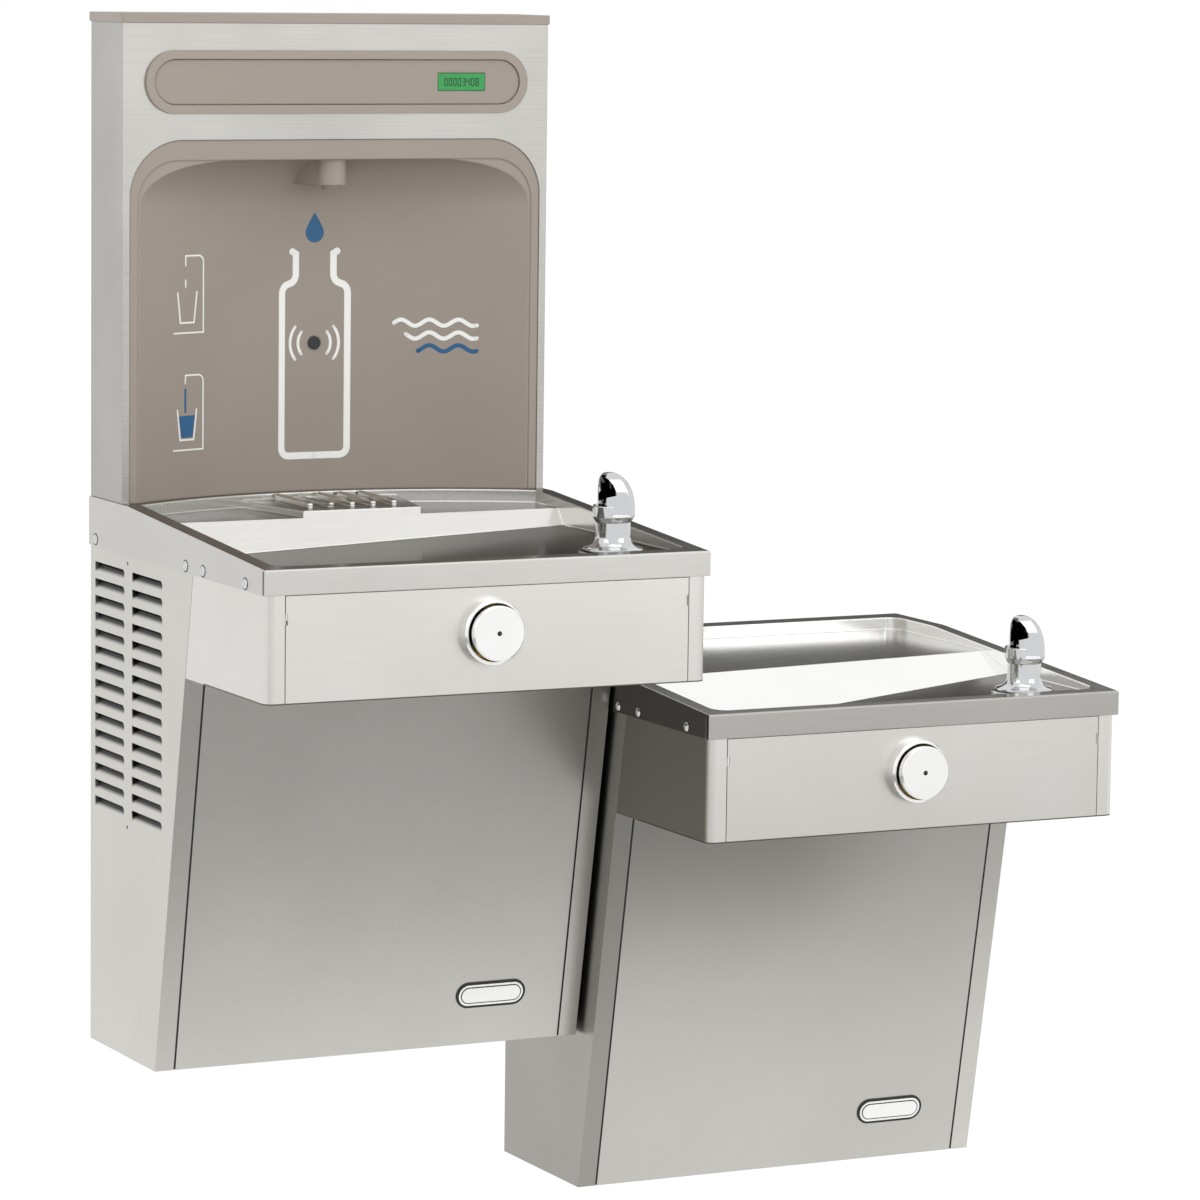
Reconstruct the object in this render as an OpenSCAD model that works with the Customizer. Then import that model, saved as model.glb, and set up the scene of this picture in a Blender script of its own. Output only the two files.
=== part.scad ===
// Wall-hung drinking fountain at two levels, with a bottle filler on the upper unit.
// Millimetres. X runs along the wall, Y goes into the wall, Z is up.
// The origin is the middle of the upper unit's hanger bolts, on the wall.
// Each unit is drawn from its own cabinet foot, with X zero at its middle.

/* [Units] */
// Width of one fountain unit
unit_w = 461; // [440:1:480]
// Gap between the two units
unit_gap = 1; // [0.9:0.1:3]
// How far the lower unit hangs below the upper one
unit_drop = 159; // [140:1:180]
// Thickness of the stainless sheet
sheet = 1.5; // [1:0.1:2]
// Gap at the seams between neighbouring panels
seam = 0.8; // [0.5:0.1:0.9]

/* [Basin] */
// Height of the rim at the wall above the cabinet's foot
rim_back_h = 548; // [540:1:560]
// Height of the rim at the front
rim_front_h = 524; // [520:1:530]
// Depth from the wall to the front of the rim
basin_d = 452; // [440:1:470]
// Depth of the level part of the rim, next to the wall
level_d = 104; // [96:1:120]
// Height of the front band of the rim
fascia_h = 24; // [20:1:26]
// Width of the flat rim round the bowl
rim_w = 16; // [12:1:20]
// Radius of the bowl's upright corners
bowl_r = 16; // [10:1:24]
// Drop from the back rim to the bowl's rear deck
deck_drop = 13; // [10:0.5:15]
// Drop from the front rim to the trough floor at its high right end
trough_drop = 5; // [4:0.5:7]
// Fall of the trough floor from right to left
trough_fall = 19; // [15:0.5:22]
// Depth from the wall to the upper bowl's deck edge
upper_deck_d = 150; // [145:1:160]
// Depth from the wall to the lower bowl's deck edge, at its middle
lower_deck_d = 242; // [230:1:255]
// Width of the lower bowl's slope from deck to trough
lower_slope_w = 85; // [60:1:95]
// Turn of the lower bowl's slope about the upright
lower_slope_turn = 7.5; // [5:0.5:9]
// Gap between skirt and cabinet side
skirt_play = 0.5; // [0.4:0.1:0.8]

/* [Bottle stand] */
// Half width of the raised stand at its back
stand_back_w = 86; // [80:1:92]
// Half width of the raised stand at its front
stand_front_w = 63; // [58:1:70]
// Height of the stand above the deck
stand_rise = 7; // [5:0.5:8]
// Number of ribs on the stand
rib_count = 5; // [3:1:5]
// Pitch of the ribs
rib_pitch = 22.6; // [18:0.1:25]
// Radius of a rib
rib_r = 3; // [2:0.1:4]
// Height of a rib above the stand
rib_rise = 6; // [4:0.1:7]

/* [Cabinet] */
// Depth of the cabinet at its foot
foot_d = 176; // [170:1:185]
// Depth of the cabinet at the skirt's lower edge
lean_d = 271; // [260:1:280]
// Height of the lower front panel
panel_h = 408; // [402:1:410]
// Width of the side panels' front flanges
flange_w = 20; // [15:1:26]
// Height of the apron below the rim's band
apron_h = 102; // [98:1:110]
// Setback of the apron from the rim's front
apron_inset = 2; // [1.9:0.1:3]
// Radius of the apron's front corners
apron_r = 9; // [6:0.5:12]

/* [Louvres] */
// Rows of louvres
louvre_rows = 15; // [8:1:16]
// Length of one louvre
louvre_w = 80; // [60:1:85]
// Height of one louvre's slot
louvre_h = 10.5; // [8:0.5:12]
// Pitch of the rows
louvre_pitch = 16.8; // [15:0.1:17]
// Depth that a louvre's blade leans inward
louvre_in = 7; // [5:0.5:9]

/* [Filler] */
// Width of the filler
filler_w = 457; // [430:1:457]
// Depth of the filler
filler_d = 85; // [82:1:90]
// Height of the filler's wrapper
filler_h = 469; // [460:1:480]
// Thickness of the top cap
cap_t = 9; // [6:0.5:12]
// Overhang of the top cap
cap_over = 2; // [1:0.5:3]
// Width of the wrapper beside the alcove
alcove_side = 7.5; // [6:0.5:10]
// Height of the alcove's opening
alcove_h = 355; // [340:1:360]
// Radius of the opening's upper corners
alcove_r = 56; // [40:1:60]
// Width of the liner's lip at the sides
lip_side = 9; // [7:0.5:12]
// Width of the liner's lip at the top
lip_top = 20; // [16:0.5:24]
// Distance from the wall to the alcove's back at its middle
alcove_back = 26; // [24:1:32]
// Wall of the liner
liner_t = 3; // [2:0.5:3.5]
// Radius where the alcove's back meets its ceiling
ceiling_r = 46; // [30:1:50]
// Length of the display's rounded bezel
bezel_w = 410; // [380:1:414]
// Height of the bezel's outline
bezel_h = 62; // [56:1:66]
// Width of the bezel's ring
bezel_ring = 8.6; // [7:0.1:10]

/* [Push buttons] */
// Height of a button's axis above the apron's lower edge
button_h = 59; // [56:1:62]
// Radius of the button's face
button_r = 26.3; // [24:0.1:27]
// Outer radius of the ring round the button
ring_r = 31; // [30.5:0.1:33]
// How far the ring stands out from the panel
ring_out = 11; // [9:0.5:13]
// How far the button's face stands out from the panel
button_out = 20; // [18:0.5:22]
// Travel of the button
button_travel = 5; // [3:0.5:6]
// Radius of the button's stem
stem_r = 4; // [3:0.1:5]

/* [Bubblers] */
// Distance of a bubbler from the unit's middle
bubbler_x = 155; // [150:1:160]
// Distance of a bubbler behind the rim's front
bubbler_y = 58; // [55:1:62]
// Height of a bubbler above its pad
bubbler_h = 75; // [70:1:90]
// Radius of the bubbler's foot
bubbler_foot_r = 29; // [25:0.5:32]
// Radius of the bubbler's hood
bubbler_r = 18.5; // [16:0.5:20]

/* [Drains] */
// Distance of a drain from the unit's middle
drain_x = 150; // [140:1:155]
// Distance of a drain behind the rim's front
drain_y = 56; // [54:1:60]
// Outer radius of the drain tube
drain_r = 15.9; // [14:0.1:17]
// Radius of the strainer plate
strainer_r = 33.5; // [30:0.5:36]

/* [Mounting] */
// Depth of the hanger bolts below the rim at the wall
hanger_h = 78; // [74:1:82]
// Spacing of the hanger bolts along the wall
bolt_span_x = 300; // [280:1:310]
// Spacing of the hanger bolts in height
bolt_span_z = 32; // [28:1:36]
// Radius of the hanger's bolt holes
bolt_r = 4.2; // [3:0.1:5]
// Outer radius of the water supply stub
supply_r = 4.76; // [4:0.01:6.4]

/* [Cooling] */
// Radius of the compressor's shell
compressor_r = 58; // [50:1:60]
// Height of the compressor's shell
compressor_h = 128; // [110:1:140]
// Radius of the chiller tank
chiller_r = 46; // [40:1:50]
// Height of the chiller tank
chiller_h = 196; // [170:1:200]
// Radius of the fan
fan_r = 41; // [36:1:42]
// Number of fan blades
blade_count = 5; // [3:1:6]
// Radius of the filter cartridge
filter_r = 33; // [28:1:36]
// Length of the filter cartridge
filter_l = 140; // [120:1:145]

/* [Hidden] */
$fn = 64;

steel = "#c9c8c4";
steel_dark = "#a9a8a4";
taupe = "#8f857c";
chrome = "#e2e2e2";
galvanised = "#b4b8ba";
black = "#1c1c1c";
brass = "#b9954f";
copper = "#b5714a";
white = "#e6e6e2";

// Overrun of every cut past the face that it opens
over = 1;
// Running clearance of a shaft in its bore
running = 0.05;
// Clearance between parts that sit close without touching
close = 0.3;

// Heights and depths that several pieces share
skirt_low = rim_front_h - fascia_h;
apron_low = skirt_low - apron_h;
button_z = apron_low + button_h;
bubbler_d = basin_d - bubbler_y;
drain_d = basin_d - drain_y;
hanger_z = rim_back_h - hanger_h;
cab_w = unit_w - 2 * (sheet + skirt_play);
side_x = cab_w / 2;
tuck = 10;
panel_top = skirt_low + tuck;
bezel_drop = 57.5;
apron_y = -(basin_d - apron_inset);
access_w = cab_w - 2 * flange_w + 2 * seam;
deck_h = rim_back_h - deck_drop;
floor_right_h = rim_front_h - trough_drop;
bowl_w = unit_w - 2 * rim_w;
bowl_front = -(basin_d - rim_w);

// The louvres' first slot and columns on the upper unit's left side
louvre_top = 484;
louvre_back = 12;
louvre_column = 100.4;
peg_hole_r = 1.8;

// Alcove plan: the back wall is part of an upright cylinder in front of it
alcove_half = filler_w / 2 - alcove_side;
recess_half = alcove_half - lip_side;
lip_t = 3;
sagitta = filler_d - alcove_back;
alcove_curve_r = (recess_half * recess_half + sagitta * sagitta) / (2 * sagitta);
alcove_centre_y = -alcove_back - alcove_curve_r;
basin_ledge = 10;

// Depth of the front face of the cabinet at a height
function front_y(z) = -(foot_d + (lean_d - foot_d) * z / skirt_low);
// Height of the trough floor at a place along the unit
function floor_h(x) = floor_right_h - trough_fall * (bowl_w / 2 - x) / bowl_w;

module upper() {
    translate([0, 0, -hanger_z]) children();
}

module lower() {
    translate([unit_w + unit_gap, 0, -hanger_z - unit_drop]) children();
}

// A box between two corners
module block(low, high) {
    translate(low) cube(high - low);
}

// An outline in Y and Z, extruded along X from x0 by w
module side_cut(x0, w, points) {
    translate([x0, 0, 0]) rotate([90, 0, 90]) linear_extrude(w) polygon(points);
}

// A flat shape in X and Z, extruded from y towards the front by t
module front_plate(y, t) {
    translate([0, y, 0]) rotate([90, 0, 0]) linear_extrude(t) children();
}

// A round bar along Y, from y towards the front
module bar_y(x, y, z, r, l) {
    translate([x, y, z]) rotate([90, 0, 0]) cylinder(r = r, h = l);
}

// A rectangle with round corners, between two corners in its plane
module round_rect(low, high, r) {
    translate(low + [r, 0]) square([high[0] - low[0] - 2 * r, high[1] - low[1]]);
    translate(low + [0, r]) square([high[0] - low[0], high[1] - low[1] - 2 * r]);
    for (x = [low[0] + r, high[0] - r], y = [low[1] + r, high[1] - r])
        translate([x, y]) circle(r);
}

// One straight length of round tube between two points
module rod(a, b, r) {
    d = b - a;
    l = norm(d);
    translate(a)
        rotate([0, acos(d[2] / l), atan2(d[1], d[0])])
            cylinder(r = r, h = l, $fn = 24);
}

// A tube along a list of points, with round joints
module run(points, r) {
    for (i = [0 : len(points) - 2]) rod(points[i], points[i + 1], r);
    if (len(points) > 2)
        for (i = [1 : len(points) - 2]) translate(points[i]) sphere(r, $fn = 24);
}

// Coil springs: one unbroken six-sided wire wound about its axis
wire_sides = 6;
wire_rings = 8;

function coil_point(t, r, l, turns) = [r * cos(360 * turns * t), r * sin(360 * turns * t), l * t];
function coil_ring(t, r, l, turns, wire) = [
    for (s = [0 : wire_sides - 1])
        let (a = 360 * s / wire_sides, turn = 360 * turns * t)
            [(r + wire * cos(a)) * cos(turn), (r + wire * cos(a)) * sin(turn), l * t + wire * sin(a)]
];

module coil(r, l, turns, wire) {
    rings = wire_rings * turns;
    points = [for (i = [0 : rings]) each coil_ring(i / rings, r, l, turns, wire)];
    skin = [
        for (i = [0 : rings - 1], s = [0 : wire_sides - 1])
            let (a = i * wire_sides + s, b = i * wire_sides + (s + 1) % wire_sides)
                each [[a, b, b + wire_sides], [a, b + wire_sides, a + wire_sides]]
    ];
    foot = [for (s = [1 : wire_sides - 2]) [0, s + 1, s]];
    top = rings * wire_sides;
    head = [for (s = [1 : wire_sides - 2]) [top, top + s, top + s + 1]];
    polyhedron(points, concat(foot, skin, head));
}

// Least gap between neighbouring curls, measured on the centre line's points
function coil_gap(r, l, turns, wire) =
    min([
        for (i = [0 : wire_rings * (turns - 1)], j = [i + wire_rings / 2 : wire_rings * turns])
            norm(coil_point(i / (wire_rings * turns), r, l, turns)
                - coil_point(j / (wire_rings * turns), r, l, turns))
    ]) - 2 * wire;

// Basin: outline in Y and Z of the pressed shell, drawn in by g
function shell_outline(g, low) = [
    [-g, low], [-g, rim_back_h - g], [-level_d, rim_back_h - g],
    [-basin_d + g, rim_front_h - g], [-basin_d + g, low]
];

// Sump in the trough floor, with a ledge for the strainer
sump_wall = 2;
sump_ledge = 3.5;
sump_depth = 6;
sump_recess = 6;
strainer_t = 2;
sump_ledge_h = floor_h(-drain_x) - sump_recess;
sump_floor_h = sump_ledge_h - sump_depth;

// Pad and boss that carry the bubbler
pad_margin = 4;
pad_r = bubbler_foot_r + pad_margin;
pad_drop = 3;
pad_h = rim_front_h - pad_drop;
boss_r = 20;
boss_h = 14;
boss_low = pad_h - boss_h;
shank_r = 9.5;
shank_out = 32;
shank_low = boss_low - shank_out;

// Plan of the whole bowl, grown outward by g
module bowl_plan(back, g) {
    round_rect([-bowl_w / 2 - g, bowl_front - g], [bowl_w / 2 + g, back + g], bowl_r + g);
}

// Everything above the trough's sloping floor, lowered by g
module above_floor(g) {
    tilt = atan(trough_fall / bowl_w);
    translate([0, -basin_d, floor_h(0) - g])
        rotate([0, -tilt, 0])
            translate([-unit_w, 0, 0]) cube([2 * unit_w, basin_d, rim_back_h]);
}

// Space of the trough in front of the deck edge, grown outward by g
module trough(deck_d, slope_w, turn, back, g) {
    low = floor_h(-bowl_w / 2);
    run_out = slope_w * (deck_h - low) / (deck_h - floor_h(0));
    intersection() {
        linear_extrude(rim_back_h + over) bowl_plan(back, g);
        above_floor(g);
        translate([0, -deck_d, 0]) rotate([0, 0, turn])
            side_cut(-unit_w, 2 * unit_w, [
                [g, rim_back_h + over], [g, deck_h - g],
                [g - run_out, low - g], [g - run_out, 0],
                [-basin_d, 0], [-basin_d, rim_back_h + over]
            ]);
    }
}

// Space above the deck, grown outward by g; the upper one follows the alcove's back
module deck(curved, back, g) {
    translate([0, 0, deck_h - g]) linear_extrude(rim_back_h - deck_h + g + over)
        intersection() {
            bowl_plan(back, g);
            if (curved)
                translate([0, alcove_centre_y])
                    circle(alcove_curve_r - basin_ledge + g, $fn = 180);
        }
}

deck_back = -28;
back_open = 24;
corner_gap = 1.2;
corner_gap_y = 5;
skirt_screw_r = 2.2;
screw_rise = 6.5;
// Screws: one near the wall, a pair behind the apron's edge and one near the front
screw_wall_d = 18;
screw_front_d = 47;
screw_pair_d = 151;
screw_pair_pitch = 44;
screw_places = [
    screw_wall_d, basin_d - screw_pair_d - screw_pair_pitch, basin_d - screw_pair_d,
    basin_d - screw_front_d
];

module basin(curved, deck_d, slope_w, turn) {
    difference() {
        union() {
            difference() {
                side_cut(-unit_w / 2, unit_w, shell_outline(0, skirt_low));
                side_cut(-unit_w / 2 + sheet, unit_w - 2 * sheet,
                    shell_outline(sheet, skirt_low - over));
                block([sheet - unit_w / 2, -2 * sheet, skirt_low - over],
                    [unit_w / 2 - sheet, over, skirt_low + back_open]);
            }
            intersection() {
                side_cut(-unit_w / 2, unit_w, shell_outline(0, 0));
                union() {
                    deck(curved, deck_back, sheet);
                    trough(deck_d, slope_w, turn, deck_back, sheet);
                }
            }
            translate([-drain_x, -drain_d, sump_floor_h - sump_wall])
                cylinder(r = strainer_r + close + sump_wall, h = rim_front_h - sump_floor_h);
            translate([bubbler_x, -bubbler_d, boss_low])
                cylinder(r = boss_r, h = pad_h - boss_low);
        }
        difference() {
            union() {
                deck(curved, deck_back, 0);
                trough(deck_d, slope_w, turn, deck_back, 0);
            }
            translate([bubbler_x, -bubbler_d, boss_low]) cylinder(r = pad_r, h = pad_h - boss_low);
            if (curved) stand();
        }
        translate([-drain_x, -drain_d, sump_ledge_h])
            cylinder(r = strainer_r + close, h = rim_front_h);
        translate([-drain_x, -drain_d, sump_floor_h])
            cylinder(r = strainer_r - sump_ledge, h = rim_front_h);
        translate([-drain_x, -drain_d, sump_floor_h - sump_wall - over])
            cylinder(r = drain_r - sheet, h = rim_front_h);
        translate([bubbler_x, -bubbler_d, boss_low - over])
            cylinder(r = shank_r + running, h = rim_front_h);
        if (curved)
            translate([riser_x, -solenoid_y, deck_h]) cylinder(r = line_r + close, h = rim_back_h);
        for (s = [-1, 1]) {
            x = s * (unit_w / 2 - sheet / 2);
            block([x - sheet, corner_gap_y - basin_d, skirt_low - over],
                [x + sheet, corner_gap_y + corner_gap - basin_d, rim_front_h - sheet]);
            for (y = screw_places)
                translate([x, -y, skirt_low + screw_rise]) rotate([0, 90, 0])
                    cylinder(r = skirt_screw_r, h = sheet + 2 * over, center = true);
        }
    }
}

// Raised stand for a bottle, with ribs that end in round noses
stand_back_d = 36;
rib_back_d = 42;
rib_front_d = 124;

module stand() {
    top = deck_h + stand_rise;
    translate([0, 0, deck_h - over]) linear_extrude(top - deck_h + over)
        polygon([
            [-stand_back_w, -stand_back_d], [stand_back_w, -stand_back_d],
            [stand_front_w, -upper_deck_d], [-stand_front_w, -upper_deck_d]
        ]);
    for (i = [0 : rib_count - 1]) {
        x = (i - (rib_count - 1) / 2) * rib_pitch;
        block([x - rib_r, -rib_front_d, top - over], [x + rib_r, -rib_back_d, top + rib_rise - rib_r]);
        bar_y(x, -rib_back_d, top + rib_rise - rib_r, rib_r, rib_front_d - rib_back_d);
        translate([x, -rib_front_d, top - over]) cylinder(r = rib_r, h = rib_rise - rib_r + over);
        translate([x, -rib_front_d, top + rib_rise - rib_r]) sphere(rib_r);
    }
}

module upper_basin() {
    color(steel) upper() basin(true, upper_deck_d, 0, 0);
}

module lower_basin() {
    color(steel) lower() basin(false, lower_deck_d, lower_slope_w, lower_slope_turn);
}

// Bubbler: flared foot, stem, collar and a hood that is open on its left
foot_t = 9;
foot_lip = 3;
bubbler_stem_r = 17;
collar_h = 34;
collar_t = 4;
collar_r = 20;
hood_curve_r = 32;
mouth_w = 15;
mouth_low = 6;
mouth_h = 26;
mouth_in = 13;
jet_r = 4;
jet_h = 12;

module bubbler() {
    translate([bubbler_x, -bubbler_d, pad_h]) {
        cylinder(r = bubbler_foot_r, h = foot_lip);
        translate([0, 0, foot_lip])
            cylinder(r1 = bubbler_foot_r, r2 = bubbler_stem_r + foot_lip, h = foot_t - foot_lip);
        cylinder(r = bubbler_stem_r, h = collar_h);
        translate([0, 0, collar_h - collar_t]) cylinder(r = collar_r, h = collar_t);
        translate([0, 0, collar_h]) difference() {
            intersection() {
                cylinder(r = bubbler_r, h = bubbler_h - collar_h);
                front_plate(bubbler_r, 2 * bubbler_r) intersection() {
                    translate([-bubbler_r, 0]) square([2 * bubbler_r, bubbler_h - collar_h]);
                    translate([bubbler_r - hood_curve_r, bubbler_h - collar_h - hood_curve_r]) union() {
                        circle(hood_curve_r);
                        translate([-hood_curve_r, -bubbler_h]) square([2 * hood_curve_r, bubbler_h]);
                    }
                }
            }
            block([-bubbler_r - over, -mouth_w / 2, mouth_low],
                [-bubbler_r + mouth_in, mouth_w / 2, mouth_low + mouth_h]);
        }
        translate([-bubbler_r + mouth_in - jet_r, 0, collar_h]) cylinder(r = jet_r, h = jet_h);
        translate([0, 0, shank_low - pad_h]) cylinder(r = shank_r, h = pad_h - shank_low + foot_lip);
    }
}

module upper_bubbler() { color(chrome) upper() bubbler(); }
module lower_bubbler() { color(chrome) lower() bubbler(); }

nut_r = 17;
nut_h = 8;

module bubbler_nut() {
    translate([bubbler_x, -bubbler_d, boss_low - nut_h]) difference() {
        cylinder(r = nut_r, h = nut_h, $fn = 6);
        translate([0, 0, -over]) cylinder(r = shank_r + running, h = nut_h + 2 * over);
    }
}

module bubbler_nuts() {
    color(brass) {
        upper() bubbler_nut();
        lower() bubbler_nut();
    }
}

// Strainer plate with two rings of holes round a middle screw
strainer_hole_r = 3;
strainer_ring_shares = [0.38, 0.72];
strainer_ring_counts = [8, 16];

module strainer() {
    translate([-drain_x, -drain_d, sump_ledge_h]) difference() {
        union() {
            cylinder(r = strainer_r, h = strainer_t);
            translate([0, 0, strainer_t]) cylinder(r = 2 * strainer_hole_r, h = strainer_t / 2);
        }
        for (ring = [0, 1], i = [1 : strainer_ring_counts[ring]])
            rotate([0, 0, 360 * i / strainer_ring_counts[ring]])
                translate([strainer_r * strainer_ring_shares[ring], 0, -over])
                    cylinder(r = strainer_hole_r, h = strainer_t + 2 * over, $fn = 24);
    }
}

module upper_strainer() { color(steel_dark) upper() strainer(); }
module lower_strainer() { color(steel_dark) lower() strainer(); }

// Drain tube: down from the sump, back through the cabinet, and down to its free end,
// with a bead that stops the trap's slip joint
drain_flange_r = 24;
drain_flange_t = 3;
drain_bend = 30;
drain_run_h = 432;
drain_back = 40;
drain_end_h = 30;
slip_l = 36;
bead_t = 4;
bead_out = 1.5;

module drain_path(r, extra) {
    top = sump_floor_h - sump_wall;
    translate([0, -drain_d, drain_run_h + drain_bend])
        cylinder(r = r, h = top - drain_run_h - drain_bend + extra);
    translate([0, drain_bend - drain_d, drain_run_h + drain_bend]) rotate([0, 90, 0])
        rotate([0, 0, -90]) rotate_extrude(angle = 90) translate([drain_bend, 0]) circle(r);
    bar_y(0, -drain_back - drain_bend, drain_run_h, r, drain_d - drain_back - 2 * drain_bend);
    translate([0, -drain_back - drain_bend, drain_run_h - drain_bend]) rotate([0, 90, 0])
        rotate([0, 0, 90]) rotate_extrude(angle = 90) translate([drain_bend, 0]) circle(r);
    translate([0, -drain_back, drain_end_h - extra])
        cylinder(r = r, h = drain_run_h - drain_bend - drain_end_h + extra);
}

module drain() {
    translate([-drain_x, 0, 0]) difference() {
        union() {
            drain_path(drain_r, 0);
            translate([0, -drain_d, sump_floor_h - sump_wall - drain_flange_t])
                cylinder(r = drain_flange_r, h = drain_flange_t);
            translate([0, -drain_back, drain_end_h + slip_l])
                cylinder(r = drain_r + bead_out, h = bead_t);
        }
        drain_path(drain_r - sheet, over);
    }
}

module upper_drain() { color(brass) upper() drain(); }
module lower_drain() { color(brass) lower() drain(); }

// Apron: wraps the sides and front corners, open for the access panel
apron_lip = 12;

module apron_plan(g) {
    round_rect([-side_x + g, apron_y + g], [side_x - g, 0], apron_r - g);
}

module apron() {
    forward = [
        [front_y(apron_low) - seam, apron_low], [front_y(panel_top) - seam, panel_top],
        [-basin_d, panel_top], [-basin_d, apron_low]
    ];
    intersection() {
        side_cut(-side_x, cab_w, forward);
        difference() {
            translate([0, 0, apron_low]) linear_extrude(panel_top - apron_low)
                difference() {
                    apron_plan(0);
                    apron_plan(sheet);
                }
            block([-access_w / 2, -basin_d, apron_low - over], [access_w / 2, -foot_d, panel_top + over]);
            for (s = [-1, 1]) side_screw_holes(s);
        }
    }
    intersection() {
        side_cut(-side_x, cab_w, forward);
        translate([0, 0, apron_low]) linear_extrude(sheet) difference() {
            apron_plan(sheet);
            translate([apron_lip - side_x, apron_y + apron_lip])
                square([cab_w - 2 * apron_lip, basin_d]);
        }
    }
    block([sheet - side_x, apron_y, skirt_low], [side_x - sheet, apron_y + sheet, panel_top]);
}

module upper_apron() { color(steel) upper() apron(); }
module lower_apron() { color(steel) lower() apron(); }

// Access panel in the apron's front, with a hole for the button and a folded head
panel_fold = 8;
keyhole_h = 10;
keyhole_w = 2;
keyhole_low = 472;

module access_panel() {
    half = access_w / 2 - seam;
    low = apron_low + sheet + seam;
    difference() {
        union() {
            block([-half, apron_y, apron_low], [half, apron_y + sheet, skirt_low - seam]);
            block([-half, apron_y, skirt_low - seam - sheet],
                [half, apron_y + panel_fold, skirt_low - seam]);
            for (s = [-1, 1])
                block([s * (half - sheet / 2) - sheet / 2, apron_y, low],
                    [s * (half - sheet / 2) + sheet / 2, apron_y + panel_fold, skirt_low - seam]);
        }
        bar_y(0, apron_y + sheet + over, button_z, ring_r - ring_wall, sheet + 2 * over);
        for (s = [-1, 1])
            block([s * half - keyhole_w, apron_y - over, keyhole_low],
                [s * half + keyhole_w, apron_y + sheet + over, keyhole_low + keyhole_h]);
    }
}

module upper_access_panel() { color(steel) upper() access_panel(); }
module lower_access_panel() { color(steel) lower() access_panel(); }

// Cabinet side panel: a flat sheet with folded back, foot and front flanges
back_flange = 15;
foot_flange = 14;
pipe_hole_r = 6;

module side_panel(s) {
    x = s * (side_x - sheet / 2);
    fx = s * (side_x - flange_w / 2);
    side_cut(x - sheet / 2, sheet, [
        [0, 0], [front_y(0), 0], [front_y(panel_top), panel_top], [0, panel_top]
    ]);
    side_cut(fx - flange_w / 2, flange_w, [
        [front_y(0), 0], [front_y(panel_h), panel_h],
        [front_y(panel_h) + sheet, panel_h], [front_y(0) + sheet, 0]
    ]);
    bx = s * (side_x - back_flange / 2);
    block([bx - back_flange / 2, -sheet, 0], [bx + back_flange / 2, 0, skirt_low - seam]);
    gx = s * (side_x - foot_flange / 2);
    block([gx - foot_flange / 2, front_y(0) + sheet / 2, 0], [gx + foot_flange / 2, 0, sheet]);
}

// Round-nosed slot of one louvre, in Y and Z
module louvre_slot() {
    square([louvre_w - louvre_h / 2, louvre_h]);
    translate([louvre_w - louvre_h / 2, louvre_h / 2]) circle(louvre_h / 2);
}

module louvre_places() {
    for (column = [0, 1], row = [0 : louvre_rows - 1])
        translate([0, -louvre_back - column * louvre_column, louvre_top - louvre_h - row * louvre_pitch])
            children();
}

module louvres(x) {
    louvre_places() {
        translate([x, 0, 0]) rotate([90, 0, 0]) linear_extrude(louvre_w) polygon([
            [0, 0], [sheet, 0], [louvre_in, louvre_h - sheet], [louvre_in - sheet, louvre_h - sheet]
        ]);
    }
}

module side_screw_holes(s) {
    for (y = screw_places)
        translate([s * side_x, -y, skirt_low + screw_rise]) rotate([0, 90, 0])
            cylinder(r = skirt_screw_r, h = flange_w, center = true);
}

module pipe_hole(x, z) {
    translate([x, tank_port_y, z]) rotate([0, 90, 0])
        cylinder(r = pipe_hole_r, h = flange_w, center = true);
}

module upper_left_panel() {
    color(steel) upper() {
        difference() {
            side_panel(-1);
            side_screw_holes(-1);
            louvre_places()
                translate([-side_x - over, 0, 0]) rotate([90, 0, 90]) mirror([1, 0])
                    linear_extrude(sheet + 2 * over) louvre_slot();
            for (z = [louvre_top + 4 * peg_hole_r, louvre_top - louvre_rows * louvre_pitch - peg_hole_r])
                translate([-side_x, -louvre_column, z]) rotate([0, 90, 0])
                    cylinder(r = peg_hole_r, h = flange_w, center = true);
        }
        louvres(-side_x);
    }
}

module upper_right_panel() {
    color(steel) upper() difference() {
        side_panel(1);
        side_screw_holes(1);
        pipe_hole(side_x, cross_h);
    }
}

module lower_left_panel() {
    color(steel) lower() difference() {
        side_panel(-1);
        side_screw_holes(-1);
        pipe_hole(-side_x, button_z);
    }
}

module lower_right_panel() {
    color(steel) lower() difference() {
        side_panel(1);
        side_screw_holes(1);
    }
}

// Lower front panel between the side panels' flanges, with folded edges
front_fold = 11;

module front_panel() {
    half = side_x - flange_w - seam;
    side_cut(-half, 2 * half, [
        [front_y(0), 0], [front_y(panel_h), panel_h],
        [front_y(panel_h) + sheet, panel_h], [front_y(0) + sheet, 0]
    ]);
    for (s = [-1, 1])
        side_cut(s * (half - sheet / 2) - sheet / 2, sheet, [
            [front_y(0), 0], [front_y(panel_h), panel_h],
            [front_y(panel_h) + front_fold, panel_h], [front_y(0) + front_fold, 0]
        ]);
    side_cut(-half, 2 * half, [
        [front_y(0), 0], [front_y(sheet), sheet], [front_y(0) + front_fold, sheet],
        [front_y(0) + front_fold, 0]
    ]);
}

module upper_front_panel() { color(steel) upper() front_panel(); }
module lower_front_panel() { color(steel) lower() front_panel(); }

// Back frame that hooks on the wall hanger
frame_t = 2;
frame_bar = 36;
frame_top_h = 22;
hanger_t = 3;
hanger_half = 172;
hanger_rise = 30;
hook_h = 12;
frame_y = -hanger_t;
frame_side_flange = louvre_back - hanger_t - close;

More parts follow.
